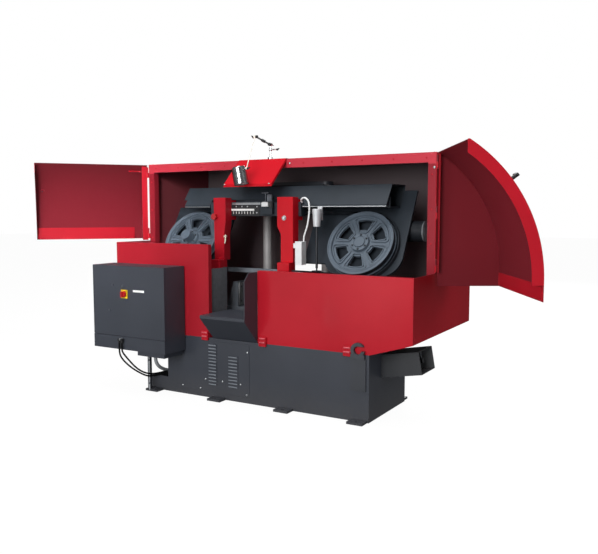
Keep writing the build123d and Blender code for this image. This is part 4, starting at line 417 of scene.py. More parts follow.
class Piece:
    """A new mesh in the making: a primitive worked in edit mode, then dressed and carried by a body.

    Its methods take millimetres.
    """

    SECTOR_STEPS = 12
    MERGE_M = 1e-5
    SHARP_DEG = 40.0
    SMOOTH_DEG = 35.0

    def __init__(self, name: str) -> None:
        """Takes over the primitive just added and puts its place into its mesh.

        Args:
            name: the piece's name.
        """
        self.obj = bpy.context.object
        self.obj.name = name
        self.settle()

    @classmethod
    def block(cls, name: str, low: Point, high: Point) -> "Piece":
        """Starts from a cube stretched between two corners.

        Args:
            name: the piece's name.
            low: lowest corner.
            high: highest corner.

        Returns:
            The new piece.
        """
        first, last = Vector(mm(*low)), Vector(mm(*high))
        bpy.ops.object.select_all(action="DESELECT")
        bpy.ops.mesh.primitive_cube_add(size=1.0, location=(first + last) / 2, scale=last - first)
        return cls(name)

    @classmethod
    def bar(cls, name: str, start: Point, end: Point, radius: float, sides: int = 24) -> "Piece":
        """Starts from a cylinder between two points.

        Args:
            name: the piece's name.
            start: centre of one end.
            end: centre of the other end.
            radius: its radius.
            sides: faces round it.

        Returns:
            The new piece.
        """
        first, last = Vector(mm(*start)), Vector(mm(*end))
        line = last - first
        bpy.ops.object.select_all(action="DESELECT")
        bpy.ops.mesh.primitive_cylinder_add(vertices=sides, radius=radius * MM, depth=line.length,
                                            location=(first + last) / 2,
                                            rotation=line.to_track_quat("Z", "Y").to_euler())
        return cls(name)

    @classmethod
    def sector(cls, name: str, window: Window) -> "Piece":
        """Spins a radial strip of a plane into a sector and cuts its middle out: a frame across the X axis.

        Args:
            name: the piece's name.
            window: its sizes.

        Returns:
            The new piece, facing Z, half its thickness to each side of the origin.
        """
        inner, outer, bar, corner = mm(window.inner, window.outer, window.bar, window.corner)
        size = outer - inner
        bpy.ops.object.select_all(action="DESELECT")
        bpy.ops.mesh.primitive_plane_add(size=size, location=((inner + outer) / 2, size / 2, 0))
        made = cls(name)
        made.enter()
        bpy.ops.mesh.select_mode(type="VERT")
        for point in bmesh.from_edit_mesh(made.obj.data).verts:
            point.select_set(point.co.y > bar)
        bpy.ops.mesh.delete(type="VERT")
        bpy.ops.mesh.select_all(action="SELECT")
        bpy.ops.mesh.spin(steps=cls.SECTOR_STEPS, angle=math.radians(window.sweep_deg), center=(0, 0, 0),
                          axis=UP)
        bpy.ops.mesh.select_all(action="SELECT")
        bpy.ops.mesh.remove_doubles(threshold=cls.MERGE_M)
        bpy.ops.mesh.normals_make_consistent(inside=False)
        bpy.ops.mesh.select_all(action="DESELECT")
        for point in bmesh.from_edit_mesh(made.obj.data).verts:
            point.select_set(len(point.link_faces) == 1)
        bpy.ops.mesh.bevel(offset=corner, segments=5, affect="VERTICES")
        made.cut_middle(window.bar)
        made.leave().thicken(window.thickness, 0.0)
        middle = sum((point.co for point in made.obj.data.vertices), Vector())
        made.obj.rotation_euler.z = -math.atan2(middle.y, middle.x)
        made.settle()
        return made

    @classmethod
    def border(cls, name: str, size: tuple[float, float], width: float, thickness: float,
               corner: float) -> "Piece":
        """Starts from a plane whose middle is inset and taken out: a flat frame at the origin with Z up.

        Args:
            name: the piece's name.
            size: outer width and height.
            width: width of the frame's bars.
            thickness: how far it stands up.
            corner: radius of its corners.

        Returns:
            The new piece.
        """
        bpy.ops.object.select_all(action="DESELECT")
        bpy.ops.mesh.primitive_plane_add(size=1.0, location=(0, 0, 0))
        bpy.context.object.scale = (*mm(*size), 1.0)
        made = cls(name)
        made.enter()
        made.cut_middle(width)
        bpy.ops.mesh.select_mode(type="VERT")
        bpy.ops.mesh.select_all(action="SELECT")
        bpy.ops.mesh.bevel(offset=corner * MM, segments=4, affect="VERTICES")
        return made.leave().thicken(thickness, 1.0)

    def settle(self) -> None:
        """Puts the selected object's place into its mesh."""
        bpy.ops.object.transform_apply(location=True, rotation=True, scale=True)

    def alone(self) -> None:
        """Selects this piece and nothing else."""
        bpy.ops.object.select_all(action="DESELECT")
        self.obj.select_set(True)
        bpy.context.view_layer.objects.active = self.obj

    def enter(self) -> None:
        """Opens the piece alone in edit mode with nothing selected."""
        self.alone()
        bpy.ops.object.mode_set(mode="EDIT")
        bpy.ops.mesh.select_mode(type="FACE")
        bpy.ops.mesh.select_all(action="DESELECT")

    def leave(self) -> "Piece":
        """Goes back to object mode."""
        bpy.ops.object.mode_set(mode="OBJECT")
        return self

    def pick(self, test: FaceTest) -> None:
        """Selects faces in edit mode.

        Args:
            test: tells by a face's centre and normal, in metres, whether it is taken.
        """
        mesh = bmesh.from_edit_mesh(self.obj.data)
        mesh.faces.ensure_lookup_table()
        for face in mesh.faces:
            face.select_set(test(face.calc_center_median(), face.normal))
        bmesh.update_edit_mesh(self.obj.data)

    def cut_middle(self, width: float) -> None:
        """Insets the whole flat piece in edit mode and deletes what is inside.

        Args:
            width: width of the border that stays.
        """
        bpy.ops.mesh.select_mode(type="FACE")
        bpy.ops.mesh.select_all(action="SELECT")
        bpy.ops.mesh.inset(thickness=width * MM)
        bpy.ops.mesh.delete(type="FACE")

    def thicken(self, thickness: float, offset: float) -> "Piece":
        """Gives a flat piece a wall.

        Args:
            thickness: the wall's thickness.
            offset: 0 for a wall on both sides of the sheet, 1 for one along its normals.

        Returns:
            The piece.
        """
        wall = self.obj.modifiers.new("thickness", "SOLIDIFY")
        wall.thickness = thickness * MM
        wall.offset = offset
        bpy.ops.object.modifier_apply(modifier=wall.name)
        return self

    def inset(self, test: FaceTest, margin: float, depth: float = 0.0) -> "Piece":
        """Insets faces and moves them along their normals.

        Args:
            test: which faces.
            margin: width of the rim that is left.
            depth: how far they move out, or in where it is negative.

        Returns:
            The piece.
        """
        self.enter()
        self.pick(test)
        bpy.ops.mesh.inset(thickness=margin * MM, depth=depth * MM)
        return self.leave()

    def socket(self, test: FaceTest, margin: float, move: Point) -> "Piece":
        """Insets faces and extrudes them: a recess or a raised pad.

        Args:
            test: which faces.
            margin: width of the rim that is left.
            move: how far and which way they go.

        Returns:
            The piece.
        """
        self.enter()
        self.pick(test)
        bpy.ops.mesh.inset(thickness=margin * MM)
        bpy.ops.mesh.extrude_region_move(TRANSFORM_OT_translate={"value": mm(*move)})
        return self.leave()

    def soften(self, width: float, segments: int = 2) -> "Piece":
        """Bevels every sharp edge.

        Args:
            width: width of the bevel.
            segments: faces across it.

        Returns:
            The piece.
        """
        self.enter()
        bpy.ops.mesh.select_mode(type="EDGE")
        bpy.ops.mesh.edges_select_sharp(sharpness=math.radians(self.SHARP_DEG))
        bpy.ops.mesh.bevel(offset=width * MM, segments=segments, affect="EDGES", clamp_overlap=True)
        return self.leave()

    def join(self, *others: "Piece") -> "Piece":
        """Joins other pieces into this one.

        Args:
            others: the pieces, which are used up.

        Returns:
            This piece.
        """
        self.alone()
        for part in others:
            part.obj.select_set(True)
        bpy.ops.object.join()
        return self

    def spread(self, places: Sequence[Matrix]) -> "Piece":
        """Copies this piece to each place and joins the copies in its stead.

        Args:
            places: where the copies' own axes go.

        Returns:
            The piece, now holding every copy.
        """
        self.alone()
        for place in places[1:]:
            twin = self.obj.copy()
            twin.data = self.obj.data.copy()
            bpy.context.scene.collection.objects.link(twin)
            twin.matrix_world = place
            twin.select_set(True)
        self.obj.matrix_world = places[0]
        if len(places) > 1:
            bpy.ops.object.join()
        self.settle()
        return self

    def carry(self, body: str, finish: Finish) -> None:
        """Moves the piece from its datum into the frame, smooths and dresses it and hands it to a body.

        Args:
            body: the CAD body it moves with.
            finish: its surface.
        """
        self.alone()
        self.obj.location = DATUM
        self.settle()
        bpy.ops.object.shade_smooth_by_angle(angle=math.radians(self.SMOOTH_DEG))
        dress(self.obj, finish)
        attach(self.obj, body)
        LOG.info("made %s on %s in %s", self.obj.name, body, finish.name)


class Head(Enum):
    """Shape of a fastener's head."""

    HEX = "hexagon with washer"
    SOCKET = "cap with a socket"
    PAN = "low dome"


@dataclass
class Fastener:
    """A screw or bolt, modelled once and copied to its places.

    Its head's width is in millimetres, and the rest of its shape goes by that.
    """

    head: Head
    width: float
    finish: Finish = ZINC_SCREW

    def master(self, name: str) -> Piece:
        """Models one head at the origin with Z up.

        Args:
            name: the piece's name.

        Returns:
            The piece.
        """
        radius = self.width / 2
        foot = (0, 0, 0)
        if self.head is Head.HEX:
            rim = (0, 0, 0.3 * radius)
            nut = Piece.bar(name, rim, (0, 0, 1.5 * radius), 1.12 * radius, sides=6)
            nut.inset(facing(UP), margin=0.25 * radius, depth=0.08 * radius)
            washer = Piece.bar("washer", foot, rim, 1.55 * radius, sides=20)
            return nut.join(washer.soften(0.08 * radius, segments=1))
        if self.head is Head.SOCKET:
            cap = Piece.bar(name, foot, (0, 0, 1.1 * radius), radius, sides=16)
            cap.soften(0.15 * radius, segments=1)
            return cap.socket(facing(UP), margin=0.35 * radius, move=(0, 0, -0.6 * radius))
        pan = Piece.bar(name, foot, (0, 0, 0.35 * radius), radius, sides=14)
        return pan.inset(facing(UP), margin=0.35 * radius, depth=0.22 * radius)

    def set_out(self, name: str, body: str, places: Sequence[Matrix]) -> None:
        """Copies the fastener to its places on a body."""
        self.master(name).spread(places).carry(body, self.finish)


@dataclass(frozen=True)
class SoftLight:
    """A square area light: its place, its target and its side in metres, its power and its spread."""

    name: str
    place: tuple[float, float, float]
    target: tuple[float, float, float]
    size: float
    watts: float
    spread_deg: float = 180.0

    def build(self) -> None:
        """Adds the light."""
        data = bpy.data.lights.new(self.name, "AREA")
        data.size = self.size
        data.energy = self.watts
        data.spread = math.radians(self.spread_deg)
        lamp = bpy.data.objects.new(self.name, data)
        bpy.context.scene.collection.objects.link(lamp)
        lamp.location = self.place
        lamp.rotation_euler = (Vector(self.target) - Vector(self.place)).to_track_quat("-Z", "Y").to_euler()


@dataclass
class Studio:
    """Camera where the photograph was taken from, soft lights and a pale floor, in metres."""

    eye: tuple[float, float, float] = (3.091, -4.886, 1.522)
    turn_deg: float = 30.2
    down_deg: float = 5.25
    focal_px: float = 700.0
    image_width_px: float = 598.0
    sensor_mm: float = 36.0
    view_depth: float = 200.0
    floor_size: float = 80.0
    floor_height: float = -0.0005
    ambient: float = 0.2
    lights: tuple[SoftLight, ...] = (
        SoftLight("key", (1.4, -10.0, 3.6), (0.0, 0.0, 1.0), 5.0, 680.0),
        SoftLight("side", (8.5, -1.0, 3.0), (0.6, 0.0, 1.0), 4.0, 110.0),
        SoftLight("top", (0.3, -1.5, 8.5), (0.0, 0.0, 1.0), 5.0, 420.0),
        SoftLight("fill", (-3.0, -7.0, 0.7), (0.6, 0.0, 1.2), 3.0, 60.0),
        SoftLight("hood", (1.6, -5.6, 3.1), (-1.9, -0.4, 1.6), 1.2, 10.5, 24.0),
        SoftLight("right_hood", (-1.0, -4.5, 0.5), (1.95, -0.3, 1.55), 1.0, 1.5, 18.0),
        SoftLight("rear", (-1.5, 10.0, 4.5), (0.0, 0.9, 1.1), 5.0, 420.0))

    def camera(self) -> None:
        """Adds the camera and makes it the scene's."""
        data = bpy.data.cameras.new("camera")
        data.sensor_width = self.sensor_mm
        data.lens = self.focal_px / self.image_width_px * self.sensor_mm
        data.clip_end = self.view_depth
        eye = bpy.data.objects.new("camera", data)
        bpy.context.scene.collection.objects.link(eye)
        eye.location = self.eye
        eye.rotation_euler = (math.radians(90 - self.down_deg), 0.0, math.radians(self.turn_deg))
        bpy.context.scene.camera = eye

    def light(self) -> None:
        """Adds the lights and a world that is white to the eye and dim to the machine."""
        for lamp in self.lights:
            lamp.build()
        world = bpy.data.worlds.new("studio")
        world.use_nodes = True
        sky = world.node_tree.nodes["Background"]
        sky.inputs["Color"].default_value = linear(WHITE)
        seen = add_node(world.node_tree, "LightPath").outputs["Is Camera Ray"]
        level = add_node(world.node_tree, "MapRange", {"Value": seen, "To Min": self.ambient})
        world.node_tree.links.new(level.outputs["Result"], sky.inputs["Strength"])
        bpy.context.scene.world = world
        bpy.context.scene.view_settings.view_transform = "Standard"

    def floor(self) -> None:
        """Adds the plain floor, which isn't part of the object."""
        bpy.ops.object.select_all(action="DESELECT")
        bpy.ops.mesh.primitive_plane_add(size=self.floor_size, location=(0.0, 0.0, self.floor_height))
        ground = bpy.context.object
        ground.name = "floor"
        dress(ground, PALE_FLOOR)
        ground.visible_diffuse = False
        ground.visible_glossy = False


@dataclass
class Cord:
    """A free cable or hose on one smooth line, with the route and size of its solid, in metres."""

    name: str
    node: str
    body: str
    route: Sequence[Point]
    diameter: float
    length: float
    finish: Finish
    stiffness: str = "medium"

    def build(self) -> None:
        data = bpy.data.curves.new(self.name, "CURVE")
        data.dimensions = "3D"
        data.bevel_depth = self.diameter / 2
        data.bevel_resolution = 5
        data.use_fill_caps = True
        line = data.splines.new("NURBS")
        line.points.add(len(self.route) - 1)
        places = [Vector(place) + DATUM for place in self.route]
        for point, place in zip(line.points, places):
            point.co = (*place, 1.0)
        line.order_u = 3
        line.use_endpoint_u = True
        line.resolution_u = 10
        obj = bpy.data.objects.new(self.name, data)
        bpy.context.scene.collection.objects.link(obj)
        dress(obj, self.finish)
        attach(obj, self.body)
        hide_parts(self.node)
        LOG.info("laid %s", self.name)


def millimetres(points: Iterable[Point]) -> list[tuple[float, ...]]:
    """Turns route points in millimetres into metres."""
    return [mm(*p) for p in points]


# Fitting of the coolant hose on the rail, the way it points, and how far along it the hose starts and bends
HOSE_ROOT = Vector((208, 41, 1572))
HOSE_WAY = Vector((0, -0.806, 0.592))
HOSE_START, HOSE_BEND = 20, 51
CORDS = (
    Cord("outer_cable", "cable_outer", "base", millimetres((
        (-1182, -636, 416), (-1182, -636, 356), (-1168, -643, 312), (-1138, -642, 276), (-1097, -628, 236),
        (-1063, -600, 198), (-1042, -558, 164), (-1032, -506, 132), (-1026, -450, 109), (-1005, -395, 109),
        (-976, -340, 113), (-946, -288, 115), (-914, -245, 116))),
        diameter=0.014, length=0.683, finish=BLACK_RUBBER),
    Cord("inner_cable", "cable_inner", "base", millimetres((
        (-1152, -636, 416), (-1152, -636, 362), (-1136, -644, 338), (-1098, -648, 308), (-1060, -640, 270),
        (-1035, -618, 230), (-1020, -580, 192), (-1008, -530, 160), (-1000, -475, 139), (-990, -420, 131),
        (-975, -365, 131), (-955, -315, 135), (-935, -281, 140), (-914, -262, 142))),
        diameter=0.014, length=0.647, finish=BLACK_RUBBER),
    Cord("conduit_run", "conduit", "base", millimetres((
        (-960, -440, 300), (-960, -440, 258), (-965, -418, 218), (-974, -380, 186), (-981, -340, 164),
        (-983, -296, 143), (-973, -254, 129), (-950, -222, 123), (-914, -205, 122))),
        diameter=0.030, length=0.355, finish=GREY_PVC, stiffness="stiff"),
    Cord("coolant_line", "coolant_hose", "saw_head", millimetres((
        tuple(HOSE_ROOT + HOSE_WAY * HOSE_START), tuple(HOSE_ROOT + HOSE_WAY * HOSE_BEND), (236, -10, 1618),
        (262, -14, 1619), (296, -22, 1590), (303, -24, 1537), (300, -26, 1482), (294, -29, 1430),
        (284, -32, 1378), (266, -35, 1330), (259, -36, 1302), (259, -36, 1272))),
        diameter=0.014, length=0.454, finish=WHITE_ACETAL, stiffness="limp"),
)


@dataclass
class BaseTrim:
    """Fittings of the base front: panel screws, louvre lips, ribbed lugs and the conduit on the strut.

    Screw places are (x, z); a louvre column is its left edge, width, count and top height. A saddle is half
    its width, half its depth and its height. All in millimetres.
    """

    panel_y: float = -353.0
    panel_screws: tuple = ((-79, 392), (-86, 45), (-145, 125), (-322, 127), (-496, 129), (-551, 47),
                           (-738, 49), (-751, 431))
    columns: tuple = ((-461, 84, 13, 424), (-261, 94, 10, 345))
    louvre_step: float = 27.0
    lip_y: float = -361.0
    lip_deep: tuple = (-2.0, 0.5)
    lip_half: float = 5.0
    lip_margin: float = 4.0
    lugs: tuple = (-491, 74, 809)
    lug_half: float = 33.0
    lug_y: tuple = (-369, -350)
    lug_z: tuple = (456, 534)
    ribs_z: tuple = (490, 521)
    rib_half: float = 25.0
    rib_y: float = -370.0
    strut: tuple = (-1034, -437)
    strut_z: tuple = (-10, 355)
    saddle: tuple = (11, 9, 14)
    saddles_z: tuple = (40, 240)

    def build(self) -> None:
        """Makes the fittings on the base."""
        places = [seat((x, self.panel_y, z), FRONT) for x, z in self.panel_screws]
        Fastener(Head.PAN, 15).set_out("louvre_screws", "base", places)
        self.louvre_lips()
        self.panel_lugs()
        self.strut_conduit()

    def louvre_lips(self) -> None:
        """Light grey lip over each louvre, a painted highlight, one piece to a column."""
        front, back = self.lip_deep
        for number, (left, width, count, top) in enumerate(self.columns):
            low = (self.lip_margin, front, -self.lip_half)
            high = (width - self.lip_margin, back, self.lip_half)
            lip = Piece.block(f"louvre_lips_{number}", low, high).soften(width=1.2)
            heights = [top - self.louvre_step * i - self.lip_half for i in range(count)]
            lip.spread([shift(left, self.lip_y, z) for z in heights]).carry("base", LOUVRE_LIP_HIGHLIGHT)

    def panel_lugs(self) -> None:
        """Pressed lugs on the panels' lower edges, each with two pale ribs across it as a painted
        highlight.
        """
        half, (front, back), (bottom, top) = self.lug_half, self.lug_y, self.lug_z
        places = [shift(x, 0, 0) for x in self.lugs]
        lug = Piece.block("panel_lugs", (-half, front, bottom), (half, back, top))
        lug.soften(width=6, segments=3).inset(facing(FRONT), margin=4, depth=-1.5)
        lug.spread(places).carry("base", RED_COAT)
        ribs = []
        for number, z in enumerate(self.ribs_z):
            ends = (-self.rib_half, self.rib_y, z), (self.rib_half, self.rib_y, z)
            ribs.append(Piece.bar(f"lug_ribs_{number}", *ends, radius=6, sides=14).soften(width=2))
        ribs[0].join(ribs[1]).spread(places).carry("base", RIB_HIGHLIGHT_COAT)

    def strut_conduit(self) -> None:
        """Pale conduit clipped upright to the strut under the cabinet."""
        x, y = self.strut
        bottom, top = self.strut_z
        tube = Piece.bar("strut_conduit", (x, y, bottom), (x, y, top), radius=7, sides=20)
        tube.inset(facing(DOWN), margin=1.5, depth=-4).carry("base", GREY_PVC)
        wide, deep, tall = self.saddle
        saddle = Piece.block("conduit_saddles", (x - wide, y - deep, 0), (x + wide, y + deep, tall))
        saddle.soften(width=3).inset(facing(FRONT), margin=3, depth=-1)
        saddle.spread([shift(0, 0, z) for z in self.saddles_z]).carry("base", DULL_ZINC)


@dataclass
class CabinetTrim:
    """Fittings of the electric cabinet: switch plate, locks, a blank plate and a bright gland nut.

    Places are (x, z) on the door's face, in millimetres.
    """

    face_y: float = -616.0
    switch: tuple = (-1128, 826)
    switch_half: float = 36.0
    switch_thickness: float = 4.0
    locks: tuple = ((-1142, 892), (-1256, 895), (-1298, 680))
    plate: tuple = ((-1032, 847), (-912, 865))
    plate_thickness: float = 1.5
    gland: tuple = (-1167, 444)
    gland_reach: float = 26.0

    def build(self) -> None:
        """Makes each fitting."""
        y = self.face_y
        x, z = self.switch
        half = self.switch_half
        back = Piece.block("switch_back_plate", (x - half, y - self.switch_thickness, z - half),
                           (x + half, y, z + half))
        back.socket(facing(FRONT), margin=5, move=(0, 1, 0)).soften(width=1.2)
        back.carry("cabinet_door", YELLOW_ABS)
        places = [seat((across, y, up), FRONT) for across, up in self.locks]
        Fastener(Head.SOCKET, 20, DULL_ZINC).set_out("door_locks", "cabinet_door", places)
        (left, bottom), (right, top) = self.plate
        plate = Piece.block("blank_plate", (left, y - self.plate_thickness, bottom), (right, y, top))
        plate.inset(facing(FRONT), margin=2, depth=0.4).carry("cabinet_door", PLATE_WHITE)
        x, z = self.gland
        nut = Piece.bar("gland_nut", (x, y, z), (x, y - self.gland_reach, z), radius=12, sides=6)
        nut.inset(facing(FRONT), margin=4, depth=4).carry("base", ZINC_SCREW)


@dataclass
class RailTrim:
    """Scale, rack, switch and screws along the guide rail, in millimetres.

    Screw places are (x, z), the rack is its left end, right end and number of teeth, and the switch's parts
    are pairs of corners or, for its post, of ends.
    """

    plate_y: float = 37.0
    strip: tuple = ((-518, -264), (1516, 1533))
    strip_thickness: float = 0.8
    ticks: Row = Row((-506, 37, 1500), (-274, 37, 1500), 9)
    tick: tuple = ((-2.6, -11, 0), (2.6, 11, 0.6))
    screws: tuple = ((-449, 1552), (-389.5, 1552), (-334, 1552), (-237, 1551), (-239, 1499))
    screw_sunk: float = 3.9
    rack: tuple = (-492, -202, 30)
    rack_z: tuple = (1568, 1576)
    rack_thickness: float = 2.6
    tooth_height: float = 10.0
    tooth_share: float = 0.6
    switch_base: tuple = ((-172, 4, 1550), (-108, 30, 1584))
    switch_post: tuple = ((-136, 16, 1584), (-136, 16, 1660))
    switch_bar: tuple = ((-176, 10, 1658), (-106, 22, 1668))
    switch_arm: tuple = ((-118, 10, 1592), (-72, 22, 1650))
    switch_side: tuple = ((-94, 6, 1539), (-64, 30, 1590))

    def build(self) -> None:
        """Makes the pieces on the saw head's rail."""
        y = self.plate_y
        (left, right), (bottom, top) = self.strip
        strip = Piece.block("scale_strip", (left, y - self.strip_thickness, bottom), (right, y, top))
        strip.inset(facing(FRONT), margin=1, depth=0.1).carry("saw_head", PLATE_WHITE)
        tick = Piece.block("scale_ticks", *self.tick).soften(width=0.2, segments=1)
        tick.spread(self.ticks.seats(FRONT)).carry("saw_head", PLATE_WHITE)
        places = [seat((x, y + self.screw_sunk, z), FRONT) for x, z in self.screws]
        Fastener(Head.PAN, 16).set_out("scale_screws", "saw_head", places)
        self.serrated_rack()
        self.stop_switch()

    def serrated_rack(self) -> None:
        """Toothed strip over the scale, its teeth pressed up from one bar."""
        first, last, count = self.rack
        bottom, top = self.rack_z
        y, deep = self.plate_y, self.rack_thickness
        bar = Piece.block("rack_bar", (first, y, bottom), (last, y + deep, top))
        bar.soften(width=0.4, segments=1)
        pitch = (last - first) / count
        half = pitch * self.tooth_share / 2
        tooth = Piece.block("rack_tooth", (-half, -deep / 2, 0), (half, deep / 2, self.tooth_height))
        middles = [first + pitch * (i + 0.5) for i in range(count)]
        tooth.soften(width=0.6, segments=1).spread([shift(x, y + deep / 2, top) for x in middles])
        bar.join(tooth).carry("saw_head", ZINC_SCREW)

    def stop_switch(self) -> None:
        """Limit switch on its box: white base, post with a cross bar and a dark side plate."""
        base = Piece.block("switch_base", *self.switch_base)
        base.socket(facing(UP), margin=6, move=(0, 0, 4)).soften(width=2).carry("saw_head", WHITE_ACETAL)
        post = Piece.bar("switch_post", *self.switch_post, radius=4.5, sides=12)
        post.inset(facing(UP), margin=1, depth=1)
        bar = Piece.block("switch_bar", *self.switch_bar).soften(width=3)
        arm = Piece.block("switch_arm", *self.switch_arm).soften(width=3)
        arm.inset(facing(FRONT), margin=5, depth=-4)
        post.join(bar, arm).carry("saw_head", DULL_ZINC)
        side = Piece.block("switch_side_plate", *self.switch_side)
        side.inset(facing(FRONT), margin=4, depth=-2).soften(width=1.5).carry("saw_head", BLACK_NYLON)


@dataclass
class WheelTrim:
    """Bolts round a band wheel's hub, and the ribbed inner web of its windows, in millimetres."""

    body: str
    centre_x: float
    centre_y: float = 70.0
    centre_z: float = 1260.0
    lean_deg: float = 30.0
    count: int = 6
    bolt_ring: float = 61.0
    hub_face: float = 30.0
    web: Window = Window(inner=94, outer=230, sweep_deg=52, bar=18, thickness=12)
    rib: Window = Window(inner=109, outer=213, sweep_deg=41, bar=7, thickness=24)

    def build(self) -> None:
        """Makes the bolts and the web."""
        self.hub_bolts()
        self.window_web()

    def axes(self) -> tuple[Vector, Vector]:
        """Directions up the leaning wheel and out of its face."""
        lean = math.radians(self.lean_deg)
        return Vector((0, math.sin(lean), math.cos(lean))), Vector((0, -math.cos(lean), math.sin(lean)))

    def angles(self) -> list[float]:
        """Angles of the windows and bolts round the hub."""
        return [math.radians(360 / self.count * (i + 0.5)) for i in range(self.count)]

    def hub_bolts(self) -> None:
        """Sets out the hub bolts in the wheel's own plane."""
        climb, normal = self.axes()
        hub = Vector((self.centre_x, self.centre_y, self.centre_z)) + normal * self.hub_face
        places = []
        for angle in self.angles():
            outward = Vector(RIGHT) * math.cos(angle) + climb * math.sin(angle)
            places.append(seat(hub + outward * self.bolt_ring, normal))
        Fastener(Head.HEX, 11, OILED_STEEL).set_out(self.body + "_bolts", self.body, places)

    def window_web(self) -> None:
        """Models the web and raised rib of one window and turns copies into all of them."""
        climb, normal = self.axes()
        plane = Matrix((Vector(RIGHT), climb, normal)).transposed().to_4x4()
        plane.translation = mm(self.centre_x, self.centre_y, self.centre_z)
        web = Piece.sector(self.body + "_web", self.web)
        rib = Piece.sector("rib", self.rib).soften(width=2)
        places = [plane @ Matrix.Rotation(angle, 4, "Z") for angle in self.angles()]
        web.join(rib).spread(places).carry(self.body, CAST_ENAMEL)


@dataclass
class LampTrim:
    """Lens, post clamp and wing knobs of the work lamp, in millimetres.

    A knob at a joint is its name, its body, its seat and the way it points.
    """

    pivot: tuple = (-172, -225, 1852)
    lean_deg: float = 12.0
    radius: float = 62.0
    drop: float = 26.0
    length: float = 140.0
    lens_sunk: float = 8.0
    lens_thickness: float = 4.0
    joint_knobs: tuple = (
        ("elbow_knob", "lamp_upper", (-296, 86, 2135), LEFT),
        ("shoulder_knob", "base", (-141, 115, 2066), REAR),
        ("tilt_knob", "lamp_upper", (-153, -225, 1852), RIGHT))
    collar: tuple = ((-141, 103, 2012), (-141, 103, 2034))
    stub: tuple = ((-131, 103, 2023), (-80, 103, 2023))
    post_knob: tuple = (-81, 103, 2023)
    ears: tuple = ((-17, -2.5, 6), (17, 2.5, 20))
    ears_roll_deg: float = 35.0

    def build(self) -> None:
        """Makes the lens, the knobs at the joints and the clamp on the post."""
        self.lens()
        for name, body, spot, way in self.joint_knobs:
            self.knob(name, body, spot, way)
        collar = Piece.bar("post_clamp", *self.collar, radius=13).soften(width=2)
        stub = Piece.bar("clamp_stub", *self.stub, radius=5, sides=16).soften(width=1)
        collar.join(stub).carry("base", BRIGHT_CHROME)
        self.knob("post_knob", "base", self.post_knob, RIGHT)

    def lens(self) -> None:
        """Stepped lens in the leaning shade's mouth."""
        lean = math.radians(self.lean_deg)
        up = Vector((-math.sin(lean), 0, math.cos(lean)))
        across = Vector((math.cos(lean), 0, math.sin(lean)))
        crown = Vector(self.pivot) - across * self.radius + up * self.drop
        mouth = crown - up * (self.length - self.lens_sunk)
        lens = Piece.bar("lamp_lens", mouth + up * self.lens_thickness, mouth, radius=58.5, sides=40)
        lens.inset(facing(-up), margin=8, depth=2).inset(facing(-up, 0.99), margin=20, depth=2)
        lens.carry("lamp_head", LAMP_LENS)

    def knob(self, name: str, body: str, spot: Point, way: Point) -> None:
        """Wing knob: a round boss with two ears.

        Args:
            name: the piece's name.
            body: the body it moves with.
            spot: its seat.
            way: the way it points.
        """
        boss = Piece.bar(name, (0, 0, 0), (0, 0, 12), radius=8, sides=16)
        boss.inset(facing(UP), margin=2, depth=1)
        ears = Piece.block("ears", *self.ears).soften(width=2)
        boss.join(ears).spread([seat(spot, way, self.ears_roll_deg)]).carry(body, BLACK_NYLON)


@dataclass
class HeadTrim:
    """Small parts of the saw head: fan grille, worn guard lips, and a bolt and a coolant tube on the arms.

    All in millimetres; a lip is its left and right end.
    """

    motor_end: tuple = (1140.0, 326.6, 1354.4)
    motor_radius: float = 80.0
    grille_thickness: float = 4.0
    grille_rings: int = 4
    ring_depth: float = 3.0
    core_radius: float = 2.0
    lips: tuple = ((-1004, -727), (202, 933))
    lip_y: float = 36.0
    lip_z: tuple = (1547, 1552)
    lip_thickness: float = 1.2
    right_bolt: tuple = (84, -50, 1457)
    clip: tuple = ((-516, -58, 1292), (-490, -40, 1306))
    tube: tuple = ((-500, -50, 1312), (-500, -54, 1262))
    tip_move: tuple = (-4, -3, -22)
    tip_share: float = 0.7

    def build(self) -> None:
        """Makes each part."""
        self.fan_grille()
        bottom, top = self.lip_z
        for name, (left, right) in zip(("left_lip_edge", "right_lip_edge"), self.lips):
            strip = Piece.block(name, (left, self.lip_y - self.lip_thickness, bottom),
                                (right, self.lip_y, top))
            strip.soften(width=0.4, segments=1).carry("saw_head", ZINC_SCREW)
        Fastener(Head.HEX, 26).set_out("right_arm_bolt", "saw_head", [seat(self.right_bolt, FRONT)])
        self.arm_tube()

    def fan_grille(self) -> None:
        """Concentric rings pressed into the fan cover's end."""
        x, y, z = self.motor_end
        face = x + self.grille_thickness
        disc = Piece.bar("fan_grille", (x, y, z), (face, y, z), self.motor_radius, sides=48)
        axis = Vector(mm(x, y, z))

        def core(centre: Vector, normal: Vector) -> bool:
            """Only the middle face of the end."""
            return normal.x > 0.9 and (centre - axis).yz.length < self.core_radius * MM

        for _ in range(self.grille_rings):
            disc.socket(core, margin=6, move=(-self.ring_depth, 0, 0))
            disc.socket(core, margin=8, move=(self.ring_depth, 0, 0))
        disc.carry("saw_head", GREY_PVC)

    def arm_tube(self) -> None:
        """Coolant tube clipped to the left arm, its tip turned down to the band."""
        clip = Piece.block("arm_tube", *self.clip).soften(width=2)
        tube = Piece.bar("tube", *self.tube, radius=6.5, sides=16)
        tube.enter()
        tube.pick(facing(DOWN))
        bpy.ops.mesh.extrude_region_move(TRANSFORM_OT_translate={"value": mm(*self.tip_move)})
        bpy.ops.transform.resize(value=(self.tip_share, self.tip_share, self.tip_share))
        clip.join(tube.leave()).carry("left_arm", CREAM_PVC)


